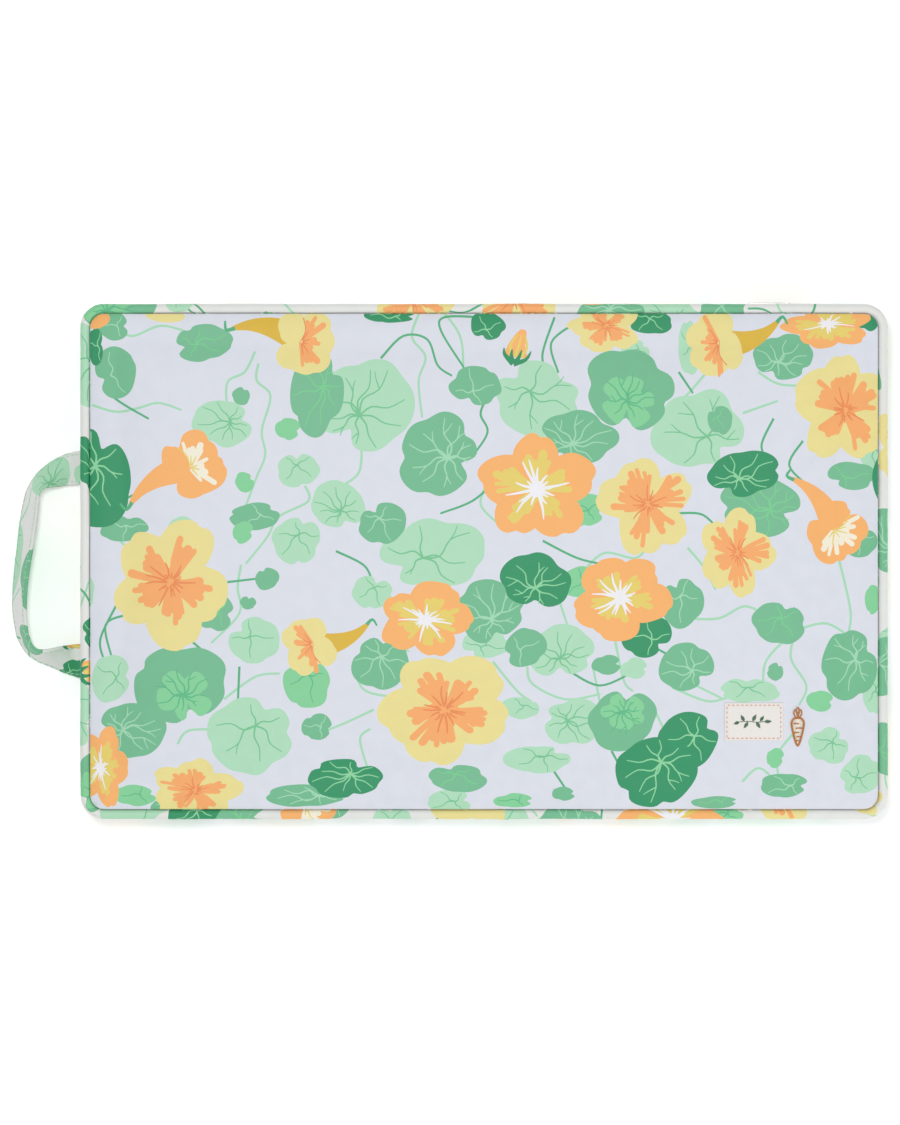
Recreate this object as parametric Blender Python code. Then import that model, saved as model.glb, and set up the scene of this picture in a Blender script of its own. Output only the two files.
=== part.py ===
"""Kneeling pad: a foam block in a piped, zipped cloth cover with a cloth carry handle.

Frame: metres, +Z up, origin at the centre of the base panel's underside. +X runs along the
long side, away from the handle. The label is towards -Y and the zip is on the +Y side.
"""
import bmesh
import bpy
from math import cos, pi, radians, sin
from mathutils import Matrix, Vector

MM = 0.001

# ---- Driving dimensions -------------------------------------------------------------------
PAD_LENGTH = 470 * MM           # along X, over the piping
PAD_WIDTH = 300 * MM            # along Y, over the piping
PAD_HEIGHT = 40 * MM            # from the floor to the top of the top piping
CORNER_RADIUS = 14 * MM         # of the piping's outer line, seen from above
CROWN = 4.8 * MM                # how far the top panel rises from its seam to its flat middle
CROWN_REACH = 30 * MM           # how far in from the seam the top panel goes on rising
CLOTH = 1.0 * MM                # coated cloth with its turnings
GAP = 0.3 * MM                  # left between pieces that touch
CORNER_STEPS = 5

PIPING_DIAMETER = 5.6 * MM
PIPING_CLOTH = 0.7 * MM
PIPING_FLANGE = 4.0 * MM        # the turning that is caught in the seam
PIPING_FLOOR_GAP = 0.2 * MM
PIPING_SIDES = 10
CORD_SIDES = 8

BAND_INSET = 3.0 * MM           # outer face of the side band, in from the piping's outer line

ZIP_BAND_LENGTH = 400 * MM
ZIP_WINDOW = 10.4 * MM          # opening between the two zip strips
TAPE = 0.6 * MM                 # thickness of a zip tape
COIL_WIDTH = 2.6 * MM           # one row
COIL_DEPTH = 1.8 * MM
COIL_PARTING = 1.6 * MM         # between the two rows, where the slider's post runs
END_TAB_LENGTH = 14 * MM
END_TAB_OVERLAP = 3 * MM        # how far an end tab runs on past the zip strips

SLIDER_LENGTH = 11 * MM
SLIDER_PLATE = 1.0 * MM
STAPLE_WIDTH = 5.6 * MM         # the slider's staple that holds the pull
STAPLE_BAR = 0.8 * MM
PULL_LENGTH = 24 * MM
PULL_WIDTH = 5.6 * MM
PULL_THICKNESS = 1.2 * MM
EYE_RADIUS = 1.5 * MM
EYE_WIDTH = 3.2 * MM
EYE_WALL = 0.55 * MM
EYE_STEPS = 12

HANDLE_WIDTH = 20 * MM
HANDLE_THICKNESS = 2.2 * MM
HANDLE_CLOTH = 0.5 * MM
HANDLE_SPREAD = 113.8 * MM      # between the middles of its two sewn ends
HANDLE_REACH = 35.5 * MM        # from the hinge line out to the middle of the loop
HANDLE_OFFSET = -1.6 * MM       # the loop's middle, along Y
HANDLE_HINGE_OUT = 2.5 * MM     # hinge line, out from the piping
HANDLE_SEAM_DEPTH = 9.6 * MM    # how far its ends run in from the piping's outer line
HANDLE_STEPS = 2                # steps from one station to the next
HANDLE_FLOOR_GAP = 0.2 * MM

LABEL_LENGTH = 34 * MM
LABEL_WIDTH = 22 * MM
LABEL_THICKNESS = 0.6 * MM
LABEL_PLACE = (156.5 * MM, -93.0 * MM)
STITCH_INSET = 2.2 * MM
STITCH_WIDTH = 0.5 * MM
STITCH_HEIGHT = 0.4 * MM
CARROT_LENGTH = 16.5 * MM       # root only
CARROT_WIDTH = 7.6 * MM
CARROT_TOP = 6.5 * MM           # length of its leaves
CARROT_PLACE = (182.0 * MM, -99.0 * MM)
THREAD_HEIGHT = 0.8 * MM

# Handle stations, from the +Y end round to the -Y end: how far out (share of HANDLE_REACH),
# how far along Y (share of half HANDLE_SPREAD), the heading in plan from the strap's outer
# edge to its inner edge, and how far the inner edge is tilted up, both in degrees.
HANDLE_STATIONS = [
    (0.00, 1.00, -90, 0),
    (0.12, 0.99, -90, 8),
    (0.30, 0.97, -90, 21),
    (0.52, 0.92, -83, 44),
    (0.66, 0.86, -64, 59),
    (0.75, 0.77, -39, 62),
    (0.80, 0.66, -19, 59),
    (0.85, 0.45, -7, 56),
    (0.91, 0.17, -1, 58),
    (0.98, -0.18, 0, 61),
    (1.00, -0.46, 4, 63),
    (0.955, -0.70, 16, 66),
    (0.86, -0.85, 38, 70),
    (0.73, -0.93, 63, 71),
    (0.55, -0.965, 82, 63),
    (0.36, -0.98, 88, 47),
    (0.15, -0.995, 90, 24),
    (0.00, -1.00, 90, 0),
]

# ---- Sizes that follow from them ----------------------------------------------------------
HALF_LENGTH = PAD_LENGTH / 2
HALF_WIDTH = PAD_WIDTH / 2
PIPING_RADIUS = PIPING_DIAMETER / 2
TOP_PIPING_Z = PAD_HEIGHT - PIPING_FLOOR_GAP - PIPING_RADIUS
BASE_PIPING_Z = PIPING_FLOOR_GAP + PIPING_RADIUS
CORD_RADIUS = PIPING_RADIUS - PIPING_CLOTH - GAP
FLANGE_HALF = GAP / 2 + PIPING_CLOTH
FLANGE_INSET = PIPING_DIAMETER + PIPING_FLANGE

PANEL_INSET = PIPING_DIAMETER + GAP
PANEL_RIM_Z = TOP_PIPING_Z + FLANGE_HALF + GAP + 0.05 * MM
CROWN_RINGS = 6

BAND_INNER = BAND_INSET + CLOTH
BAND_LOW = BASE_PIPING_Z + PIPING_RADIUS + GAP
BAND_HIGH = TOP_PIPING_Z - PIPING_RADIUS - GAP

ZIP_Z = (BAND_LOW + BAND_HIGH) / 2
ZIP_HALF = ZIP_BAND_LENGTH / 2
TAPE_INSET = BAND_INNER + GAP
COIL_INSET = TAPE_INSET - GAP - COIL_DEPTH
COIL_HALF_LENGTH = ZIP_HALF + END_TAB_OVERLAP - END_TAB_LENGTH - 2 * GAP
SLIDER_OUTER = COIL_INSET - GAP - SLIDER_PLATE
SLIDER_INNER = TAPE_INSET + TAPE + GAP + SLIDER_PLATE
SLIDER_REST_X = COIL_HALF_LENGTH - SLIDER_LENGTH / 2 - 4 * MM
PULL_PIN_INSET = SLIDER_OUTER - EYE_RADIUS - GAP

FOAM_INSET = SLIDER_INNER + GAP
FOAM_STEP_INSET = FLANGE_INSET + GAP

HINGE_X = -HALF_LENGTH - HANDLE_HINGE_OUT
HINGE_Z = BAND_LOW + HANDLE_THICKNESS / 2
HANDLE_END_Y = {
    "back": HANDLE_OFFSET + HANDLE_SPREAD / 2,
    "front": HANDLE_OFFSET - HANDLE_SPREAD / 2,
}


# ---- Shared tools -------------------------------------------------------------------------
def clear_scene():
    for old in list(bpy.data.objects):
        bpy.data.objects.remove(old, do_unlink=True)


def cloth_or_metal(name, color, roughness, metallic=0.0):
    material = bpy.data.materials.new(name)
    material.use_nodes = True
    shader = material.node_tree.nodes["Principled BSDF"]
    shader.inputs["Base Color"].default_value = (*color, 1.0)
    shader.inputs["Roughness"].default_value = roughness
    shader.inputs["Metallic"].default_value = metallic
    return material


def as_object(name, bm, material=None, origin=(0, 0, 0)):
    """Close a bmesh into an object whose origin is at the given point."""
    bmesh.ops.recalc_face_normals(bm, faces=bm.faces)
    bm.transform(Matrix.Translation(-Vector(origin)))
    mesh = bpy.data.meshes.new(name)
    bm.to_mesh(mesh)
    bm.free()
    obj = bpy.data.objects.new(name, mesh)
    obj.location = origin
    bpy.context.scene.collection.objects.link(obj)
    if material is not None:
        mesh.materials.append(material)
    return obj


def use_as_tool(obj):
    obj.hide_render = True
    obj.display_type = "WIRE"
    return obj


def combine(obj, tool, operation):
    use_as_tool(tool)
    step = obj.modifiers.new(operation.title(), "BOOLEAN")
    step.operation = operation
    step.object = tool


def corner_arcs(inset):
    """Points round each corner, clockwise from the +X +Y corner, in from the outer line."""
    radius = max(CORNER_RADIUS - inset, 2 * MM)
    x = HALF_LENGTH - inset - radius
    y = HALF_WIDTH - inset - radius
    arcs = []
    for side_x, side_y, start in ((1, 1, 90), (1, -1, 0), (-1, -1, -90), (-1, 1, -180)):
        arc = []
        for step in range(CORNER_STEPS + 1):
            turn = radians(start - 90 * step / CORNER_STEPS)
            arc.append((side_x * x + radius * cos(turn), side_y * y + radius * sin(turn)))
        arcs.append(arc)
    return arcs


def add_ring(bm, inset, z):
    return [bm.verts.new((x, y, z)) for arc in corner_arcs(inset) for x, y in arc]


def bridge(bm, ring_a, ring_b, closed=True):
    count = len(ring_a)
    for i in range(count if closed else count - 1):
        j = (i + 1) % count
        bm.faces.new((ring_a[i], ring_a[j], ring_b[j], ring_b[i]))


def plate(name, levels, material):
    """A capped solid of rounded rectangles, from its lowest to its highest level."""
    bm = bmesh.new()
    rings = [add_ring(bm, inset, z) for inset, z in levels]
    for lower, upper in zip(rings, rings[1:]):
        bridge(bm, lower, upper)
    bm.faces.new(rings[0])
    bm.faces.new(rings[-1])
    return as_object(name, bm, material)


def hoop(name, profile, material):
    """A closed section of (inset, z) points carried all the way round the pad."""
    bm = bmesh.new()
    rings = [add_ring(bm, inset, z) for inset, z in profile]
    for ring, following in zip(rings, rings[1:] + rings[:1]):
        bridge(bm, ring, following)
    return as_object(name, bm, material)


def block(name, low, high, material=None):
    bm = bmesh.new()
    bmesh.ops.create_cube(bm, size=1)
    middle = (Vector(low) + Vector(high)) / 2
    size = Vector(high) - Vector(low)
    bm.transform(Matrix.Translation(middle) @ Matrix.Diagonal((*size, 1)))
    return as_object(name, bm, material)


def extrusion(name, outline, direction, material=None, origin=(0, 0, 0)):
    """A flat outline of 3D points pushed along a direction."""
    bm = bmesh.new()
    near = [bm.verts.new(point) for point in outline]
    far = [bm.verts.new(Vector(point) + Vector(direction)) for point in outline]
    bridge(bm, near, far)
    bm.faces.new(near)
    bm.faces.new(far)
    return as_object(name, bm, material, origin)


# ---- Foam and cover -----------------------------------------------------------------------
def crown_rings(lift):
    """(inset, z) of the top panel's rising edge, from the seam to its flat middle."""
    rings = []
    for step in range(CROWN_RINGS + 1):
        share = step / CROWN_RINGS
        rings.append((PANEL_INSET + CROWN_REACH * share, PANEL_RIM_Z + CROWN * sin(share * pi / 2) + lift))
    return rings


def make_foam_core(material):
    top = [ring for ring in crown_rings(-GAP) if ring[0] > FOAM_STEP_INSET + GAP]
    base_flange_top = BASE_PIPING_Z + FLANGE_HALF + GAP
    top_flange_under = TOP_PIPING_Z - FLANGE_HALF - GAP
    levels = [
        (FOAM_STEP_INSET, CLOTH + GAP),
        (FOAM_STEP_INSET, base_flange_top),
        (FOAM_INSET, base_flange_top),
        (FOAM_INSET, top_flange_under),
        (FOAM_STEP_INSET, top_flange_under),
        *top,
    ]
    foam = plate("foam_core", levels, material)
    for end, y in HANDLE_END_Y.items():
        combine(foam, handle_end_space(f"foam_pocket_{end}", y), "DIFFERENCE")
    return foam


def make_panels(material):
    under = crown_rings(0)
    over = crown_rings(CLOTH)
    plate("top_panel", under[::-1] + over, material)
    plate("base_panel", [(PANEL_INSET, 0), (PANEL_INSET, CLOTH)], material)


def piping_profile(z):
    """The piping cover's section: a tube that is open on its inner side, with two flat legs."""
    inner_radius = PIPING_RADIUS - PIPING_CLOTH
    outer, inner = [], []
    for step in range(PIPING_SIDES + 1):
        share = step / PIPING_SIDES
        for radius, lip, points in (
            (PIPING_RADIUS, FLANGE_HALF, outer),
            (inner_radius, GAP / 2, inner),
        ):
            opening = lip / radius
            turn = opening + (2 * pi - 2 * opening) * share
            points.append((PIPING_RADIUS + radius * cos(turn), z + radius * sin(turn)))
    lower_leg = [(FLANGE_INSET, z - FLANGE_HALF), (FLANGE_INSET, z - GAP / 2)]
    upper_leg = [(FLANGE_INSET, z + GAP / 2), (FLANGE_INSET, z + FLANGE_HALF)]
    return outer + lower_leg + inner[::-1] + upper_leg


def cord_profile(z):
    turns = [2 * pi * (step + 0.5) / CORD_SIDES for step in range(CORD_SIDES)]
    return [(PIPING_RADIUS + CORD_RADIUS * cos(t), z + CORD_RADIUS * sin(t)) for t in turns]


def make_piping(cloth, cord):
    for edge, z in (("top", TOP_PIPING_Z), ("base", BASE_PIPING_Z)):
        hoop(f"{edge}_piping_cover", piping_profile(z), cloth)
        hoop(f"{edge}_piping_cord", cord_profile(z), cord)


def make_side_band(material):
    """Round both short ends and the -Y side, stopping where the zip strips start."""
    bm = bmesh.new()
    rings = []
    for inset, z in (
        (BAND_INSET, BAND_LOW),
        (BAND_INNER, BAND_LOW),
        (BAND_INNER, BAND_HIGH),
        (BAND_INSET, BAND_HIGH),
    ):
        y = HALF_WIDTH - inset
        x = ZIP_HALF + GAP / 2
        path = [(-x, y)] + [point for arc in corner_arcs(inset)[::-1] for point in arc[::-1]] + [(x, y)]
        rings.append([bm.verts.new((px, py, z)) for px, py in path])
    for ring, following in zip(rings, rings[1:] + rings[:1]):
        bridge(bm, ring, following, closed=False)
    bm.faces.new([ring[0] for ring in rings])
    bm.faces.new([ring[-1] for ring in rings])
    band = as_object("side_band", bm, material)
    for end, y in HANDLE_END_Y.items():
        combine(band, handle_end_space(f"band_notch_{end}", y), "DIFFERENCE")


# ---- Zip ----------------------------------------------------------------------------------
def zip_block(name, half_length, z_low, z_high, inset, depth, material):
    low = (-half_length, HALF_WIDTH - inset - depth, z_low)
    high = (half_length, HALF_WIDTH - inset, z_high)
    return block(name, low, high, material)


def make_zip_runs(cloth, tape, coil):
    strip_half = ZIP_HALF - GAP / 2
    window = ZIP_WINDOW / 2
    zip_block("zip_strip_upper", strip_half, ZIP_Z + window, BAND_HIGH, BAND_INSET, CLOTH, cloth)
    zip_block("zip_strip_lower", strip_half, BAND_LOW, ZIP_Z - window, BAND_INSET, CLOTH, cloth)
    inner = COIL_PARTING / 2
    tape_half = COIL_HALF_LENGTH + END_TAB_LENGTH / 2
    coil_edge = inner + COIL_WIDTH
    tape_edge = BAND_HIGH - ZIP_Z - GAP
    zip_block("zip_tape_upper", tape_half, ZIP_Z + inner, ZIP_Z + tape_edge, TAPE_INSET, TAPE, tape)
    zip_block("zip_tape_lower", tape_half, ZIP_Z - tape_edge, ZIP_Z - inner, TAPE_INSET, TAPE, tape)
    for row, low, high in (("upper", inner, coil_edge), ("lower", -coil_edge, -inner)):
        name = f"zip_coil_{row}"
        zip_block(name, COIL_HALF_LENGTH, ZIP_Z + low, ZIP_Z + high, COIL_INSET, COIL_DEPTH, coil)
    tab_face = BAND_INSET - GAP
    for end, side in (("left", -1), ("right", 1)):
        outer_x = side * (ZIP_HALF + END_TAB_OVERLAP)
        inner_x = side * (COIL_HALF_LENGTH + 2 * GAP)
        half_height = ZIP_WINDOW / 2 + 5 * MM
        low = (min(outer_x, inner_x), HALF_WIDTH - tab_face, ZIP_Z - half_height)
        high = (max(outer_x, inner_x), HALF_WIDTH - tab_face + CLOTH * 0.8, ZIP_Z + half_height)
        block(f"zip_end_tab_{end}", low, high, cloth)


def make_slider(metal):
    """Front plate, side lips, a post between the coil rows, a back plate and a staple."""
    lip_in = COIL_PARTING / 2 + COIL_WIDTH + GAP
    lip_out = lip_in + SLIDER_PLATE
    lip_end = TAPE_INSET - 2 * GAP
    front_inner = SLIDER_OUTER + SLIDER_PLATE
    back_outer = SLIDER_INNER - SLIDER_PLATE
    post = COIL_PARTING / 2 - GAP
    upper_half = [
        (SLIDER_OUTER, lip_out),
        (lip_end, lip_out),
        (lip_end, lip_in),
        (front_inner, lip_in),
        (front_inner, post),
        (back_outer, post),
        (back_outer, lip_in),
        (SLIDER_INNER, lip_in),
    ]
    section = upper_half + [(inset, -z) for inset, z in reversed(upper_half)]
    start_x = SLIDER_REST_X - SLIDER_LENGTH / 2
    outline = [(start_x, HALF_WIDTH - inset, ZIP_Z + z) for inset, z in section]
    rest = (SLIDER_REST_X, HALF_WIDTH, ZIP_Z)
    slider = extrusion("zip_slider", outline, (SLIDER_LENGTH, 0, 0), metal, rest)

    foot = SLIDER_OUTER + SLIDER_PLATE / 2
    bar_out = PULL_PIN_INSET - STAPLE_BAR / 2
    bar_in = PULL_PIN_INSET + STAPLE_BAR / 2
    leg_out = STAPLE_WIDTH / 2
    leg_in = EYE_WIDTH / 2 + GAP
    staple_half = [(foot, leg_out), (bar_out, leg_out)]
    staple_inner = [(foot, leg_in), (bar_in, leg_in)]
    section = staple_half + [(inset, -z) for inset, z in reversed(staple_half)]
    section += [(inset, -z) for inset, z in staple_inner] + staple_inner[::-1]
    start_x = SLIDER_REST_X - STAPLE_BAR / 2
    outline = [(start_x, HALF_WIDTH - inset, ZIP_Z + z) for inset, z in section]
    combine(slider, extrusion("slider_staple", outline, (STAPLE_BAR, 0, 0)), "UNION")
    return slider


def make_pull(metal, slider):
    """A paddle with an eye round the slider's staple; it lies back over the closed coil."""
    pin = Vector((SLIDER_REST_X, HALF_WIDTH - PULL_PIN_INSET, ZIP_Z))
    half_thick = PULL_THICKNESS / 2
    paddle_start = EYE_RADIUS + STAPLE_BAR + GAP
    rim = []
    for step in range(EYE_STEPS + 1):
        turn = radians(-90 + 180 * step / EYE_STEPS)
        rim.append((EYE_RADIUS * cos(turn), EYE_RADIUS * sin(turn)))
    side = rim + [(-EYE_RADIUS, half_thick), (-paddle_start - MM, half_thick)]
    side += [(-paddle_start - MM, -half_thick), (-EYE_RADIUS, -half_thick)]
    outline = [pin + Vector((x, y, -EYE_WIDTH / 2)) for x, y in side]
    pull = extrusion("zip_pull", outline, (0, 0, EYE_WIDTH), metal, pin)

    low = pin + Vector((-PULL_LENGTH, -half_thick, -PULL_WIDTH / 2))
    high = pin + Vector((-paddle_start, half_thick, PULL_WIDTH / 2))
    paddle = block("pull_paddle", low, high)
    bevel = paddle.modifiers.new("Bevel", "BEVEL")
    bevel.width = PULL_THICKNESS / 4
    bevel.segments = 1
    combine(pull, paddle, "UNION")

    bm = bmesh.new()
    hole = EYE_RADIUS - EYE_WALL
    bmesh.ops.create_cone(
        bm, cap_ends=True, segments=EYE_STEPS, radius1=hole, radius2=hole, depth=EYE_WIDTH * 2
    )
    bm.transform(Matrix.Translation(pin))
    combine(pull, as_object("pull_eye_hole", bm), "DIFFERENCE")
    pull.parent = slider
    pull.matrix_parent_inverse = Matrix.Translation(slider.location).inverted()


# ---- Handle -------------------------------------------------------------------------------
def handle_end_space(name, y):
    """The space that one sewn end of the handle takes in the band and the foam."""
    half = HANDLE_WIDTH / 2 + GAP
    low = (HINGE_X, y - half, HINGE_Z - HANDLE_THICKNESS / 2 - 2 * GAP)
    high = (
        -HALF_LENGTH + HANDLE_SEAM_DEPTH + GAP,
        y + half,
        HINGE_Z + HANDLE_THICKNESS / 2 + GAP,
    )
    return block(name, low, high)


def smooth_between(before, start, end, after, share):
    """Catmull-Rom interpolation of station values."""
    values = []
    for a, b, c, d in zip(before, start, end, after):
        bend = 2 * a - 5 * b + 4 * c - d
        swing = -a + 3 * b - 3 * c + d
        values.append(b + 0.5 * share * (c - a + share * (bend + share * swing)))
    return values


def handle_sections():
    """Middle, across and face directions of the strap at every step along the loop."""
    stations = [HANDLE_STATIONS[0]] + HANDLE_STATIONS + [HANDLE_STATIONS[-1]]
    sections = []
    for i in range(1, len(stations) - 2):
        steps = HANDLE_STEPS + (i == len(stations) - 3)
        for step in range(steps):
            out, along, heading, tilt = smooth_between(*stations[i - 1:i + 3], step / HANDLE_STEPS)
            heading, tilt = radians(heading), radians(tilt)
            level = Vector((cos(heading), sin(heading), 0))
            across = level * cos(tilt) + Vector((0, 0, sin(tilt)))
            face = Vector((0, 0, cos(tilt))) - level * sin(tilt)
            droop = HINGE_Z * (1 - 3 * out)
            standing = HANDLE_WIDTH / 2 * sin(tilt) + HANDLE_THICKNESS / 2 * cos(tilt)
            z = max(droop, standing + HANDLE_FLOOR_GAP)
            x = HINGE_X - GAP - HANDLE_REACH * out
            y = HANDLE_OFFSET + HANDLE_SPREAD / 2 * along
            sections.append((Vector((x, y, z)), across, face))
    return sections


def strap_rings(bm, half_width, half_thick):
    rings = []
    for middle, across, face in handle_sections():
        corners = ((-1, -1), (1, -1), (1, 1), (-1, 1))
        ring = [middle + across * half_width * a + face * half_thick * f for a, f in corners]
        rings.append([bm.verts.new(point) for point in ring])
    for ring, following in zip(rings, rings[1:]):
        bridge(bm, ring, following)
    return rings


def make_handle(cloth, webbing):
    hinge = Vector((HINGE_X, HANDLE_OFFSET, HINGE_Z))
    half_width, half_thick = HANDLE_WIDTH / 2, HANDLE_THICKNESS / 2
    bm = bmesh.new()
    outer = strap_rings(bm, half_width, half_thick)
    inner = strap_rings(bm, half_width - HANDLE_CLOTH, half_thick - HANDLE_CLOTH)
    for end in (0, -1):
        bridge(bm, outer[end], inner[end])
    as_object("handle_cover", bm, cloth, hinge)

    bm = bmesh.new()
    clear = HANDLE_CLOTH + GAP
    core = strap_rings(bm, half_width - clear, half_thick - clear)
    bm.faces.new(core[0])
    bm.faces.new(core[-1])
    as_object("handle_core", bm, webbing, hinge)

    for end, y in HANDLE_END_Y.items():
        low = (HINGE_X + half_thick + 2 * GAP, y - half_width, HINGE_Z - half_thick)
        high = (-HALF_LENGTH + HANDLE_SEAM_DEPTH, y + half_width, HINGE_Z + half_thick)
        block(f"handle_end_{end}", low, high, cloth)


# ---- Label and embroidery -----------------------------------------------------------------
def make_label(label_cloth, thread, gold_thread):
    face_z = PANEL_RIM_Z + CROWN + CLOTH + GAP
    x, y = LABEL_PLACE
    half_x, half_y = LABEL_LENGTH / 2, LABEL_WIDTH / 2
    top_z = face_z + LABEL_THICKNESS
    block("woven_label", (x - half_x, y - half_y, face_z), (x + half_x, y + half_y, top_z), label_cloth)

    bm = bmesh.new()
    rings = []
    for shrink, z in (
        (STITCH_INSET, top_z + GAP),
        (STITCH_INSET + STITCH_WIDTH, top_z + GAP),
        (STITCH_INSET + STITCH_WIDTH, top_z + GAP + STITCH_HEIGHT),
        (STITCH_INSET, top_z + GAP + STITCH_HEIGHT),
    ):
        dx, dy = half_x - shrink, half_y - shrink
        corners = ((x - dx, y - dy), (x + dx, y - dy), (x + dx, y + dy), (x - dx, y + dy))
        rings.append([bm.verts.new((*corner, z)) for corner in corners])
    for ring, following in zip(rings, rings[1:] + rings[:1]):
        bridge(bm, ring, following)
    as_object("label_stitching", bm, thread)

    x, y = CARROT_PLACE
    half = CARROT_WIDTH / 2
    side = [(0.25, -0.5), (0.75, -0.1), (1.0, 0.35), (0.85, 0.5)]
    root = [(half * a, CARROT_LENGTH * b) for a, b in side]
    leaves = [(half * 0.8, CARROT_LENGTH / 2 + CARROT_TOP * 0.7), (half * 0.2, CARROT_LENGTH / 2 + CARROT_TOP)]
    right = root + leaves
    outline = right + [(-px, py) for px, py in reversed(right)]
    points = [(x + px, y + py, face_z) for px, py in outline]
    extrusion("carrot_embroidery", points, (0, 0, THREAD_HEIGHT), gold_thread)


def main():
    clear_scene()
    printed = cloth_or_metal("printed_cloth", (0.60, 0.72, 0.62), 0.55)
    foam = cloth_or_metal("upholstery_foam", (0.85, 0.82, 0.68), 0.95)
    cord = cloth_or_metal("cotton_cord", (0.86, 0.84, 0.78), 0.9)
    tape = cloth_or_metal("zip_tape", (0.78, 0.78, 0.74), 0.85)
    coil = cloth_or_metal("nylon_coil", (0.82, 0.82, 0.79), 0.4)
    metal = cloth_or_metal("zip_metal", (0.62, 0.62, 0.60), 0.35, 1.0)
    webbing = cloth_or_metal("webbing", (0.80, 0.78, 0.70), 0.9)
    label_cloth = cloth_or_metal("label_cloth", (0.84, 0.80, 0.76), 0.8)
    pink = cloth_or_metal("pink_thread", (0.75, 0.35, 0.30), 0.7)
    gold = cloth_or_metal("gold_thread", (0.70, 0.33, 0.06), 0.6)

    make_foam_core(foam)
    make_panels(printed)
    make_piping(printed, cord)
    make_side_band(printed)
    make_zip_runs(printed, tape, coil)
    slider = make_slider(metal)
    make_pull(metal, slider)
    make_handle(printed, webbing)
    make_label(label_cloth, pink, gold)


main()
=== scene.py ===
import math
import random

import bpy
import numpy as np
from mathutils.bvhtree import BVHTree
from mathutils.geometry import delaunay_2d_cdt
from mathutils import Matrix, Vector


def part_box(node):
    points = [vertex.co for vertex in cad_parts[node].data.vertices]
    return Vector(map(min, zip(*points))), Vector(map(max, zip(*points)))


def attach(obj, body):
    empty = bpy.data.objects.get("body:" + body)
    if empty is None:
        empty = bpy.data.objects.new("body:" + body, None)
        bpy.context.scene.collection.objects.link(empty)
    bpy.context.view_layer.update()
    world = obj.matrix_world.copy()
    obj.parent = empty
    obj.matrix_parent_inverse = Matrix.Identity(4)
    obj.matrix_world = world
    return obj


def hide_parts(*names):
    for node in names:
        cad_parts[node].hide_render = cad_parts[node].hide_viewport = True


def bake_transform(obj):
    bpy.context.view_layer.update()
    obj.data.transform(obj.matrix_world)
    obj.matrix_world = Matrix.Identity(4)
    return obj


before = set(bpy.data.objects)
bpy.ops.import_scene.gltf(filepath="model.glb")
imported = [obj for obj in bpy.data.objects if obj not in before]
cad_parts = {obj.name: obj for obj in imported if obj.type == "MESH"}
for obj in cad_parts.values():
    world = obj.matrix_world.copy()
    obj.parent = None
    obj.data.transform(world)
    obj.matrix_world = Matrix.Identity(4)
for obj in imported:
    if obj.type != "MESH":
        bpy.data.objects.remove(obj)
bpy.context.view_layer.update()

scene = bpy.context.scene
MM = 0.001

# ---- Foam block -------------------------------------------------------------------------
# A slab of open-cell upholstery foam, cut a little larger than its cover and pressed into it, so that
# the top comes out level in the middle and rolls down into the piped seam all round.
HALF_LENGTH, HALF_WIDTH, CORNER = 235 * MM, 150 * MM, 14 * MM    # over the piping
SEAM_INSET = 5.9 * MM          # from the piping's outer line to the top panel's seam
SEAM_Z = 38.3 * MM
PUFF = 3.7 * MM                # how far the foam lifts the top above its seamed shape
SIDE_PUFF = 1.5 * MM
ROLL = 9 * MM                  # width of the rounded shoulder beside the seam
ABOVE, AWAY = 100 * MM, 40 * MM    # where the rays that read the stuffed cover start
FRAMES = 20                    # by then the pressed cover has come to rest
TABLE_STEP = 3 * MM            # between the places where the stuffed cover's height is read
TABLE_X = np.arange(-231, 231.1, 3) * MM
TABLE_Y = np.arange(-147, 147.1, 3) * MM
SIDE_RUNS, SIDE_LEVELS = 301, 8             # places round and up the side where its swell is read
SIDE_LOW, SIDE_HIGH = 6, 34                 # mm, the lowest and highest of them


def to_linear(hex_colour):
    """An sRGB hex colour as linear light, with full cover."""
    parts = [int(hex_colour[i:i + 2], 16) / 255 for i in (1, 3, 5)]
    return tuple(c / 12.92 if c <= 0.04045 else ((c + 0.055) / 1.055) ** 2.4 for c in parts) + (1.0,)


def add_node(material, kind, settings=None, links=None):
    """Adds a node. Each link is a socket's name or number, with a value or another node's output."""
    made = material.node_tree.nodes.new(kind)
    for key, value in (settings or {}).items():
        setattr(made, key, value)
    for key, value in (links or {}).items():
        if isinstance(value, bpy.types.NodeSocket):
            material.node_tree.links.new(value, made.inputs[key])
        else:
            made.inputs[key].default_value = value
    return made


def new_material(name):
    """A material without nodes yet."""
    material = bpy.data.materials.new(name)
    material.use_nodes = True
    material.node_tree.nodes.clear()
    return material


def finish_material(material, colour, shader):
    """Ends a material in one surface shader, whose sockets are given as values or node outputs."""
    skin = add_node(material, "ShaderNodeBsdfPrincipled", links={"Base Color": colour, **shader})
    add_node(material, "ShaderNodeOutputMaterial", links={"Surface": skin.outputs["BSDF"]})
    return material


def edge_line(inset):
    """The pad's outline that far in, from the middle of the zip side and leftwards as seen from above:
    how far along, x, y and the outward direction's angle."""
    half_x, half_y, radius = HALF_LENGTH - inset, HALF_WIDTH - inset, max(CORNER - inset, 2.5 * MM)
    xs, ys, turns = [0.0], [half_y], [math.pi / 2]
    for quarter, (side_x, side_y) in enumerate(((-1, 1), (-1, -1), (1, -1), (1, 1))):
        for step in range(25):
            turn = math.pi / 2 * (quarter + 1 + step / 24)
            xs.append(side_x * (half_x - radius) + radius * math.cos(turn))
            ys.append(side_y * (half_y - radius) + radius * math.sin(turn))
            turns.append(turn)
    xs, ys, turns = np.array(xs + [0.0]), np.array(ys + [half_y]), np.array(turns + [2.5 * math.pi])
    along = np.concatenate([[0], np.cumsum(np.hypot(np.diff(xs), np.diff(ys)))])
    return along, xs, ys, turns


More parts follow.
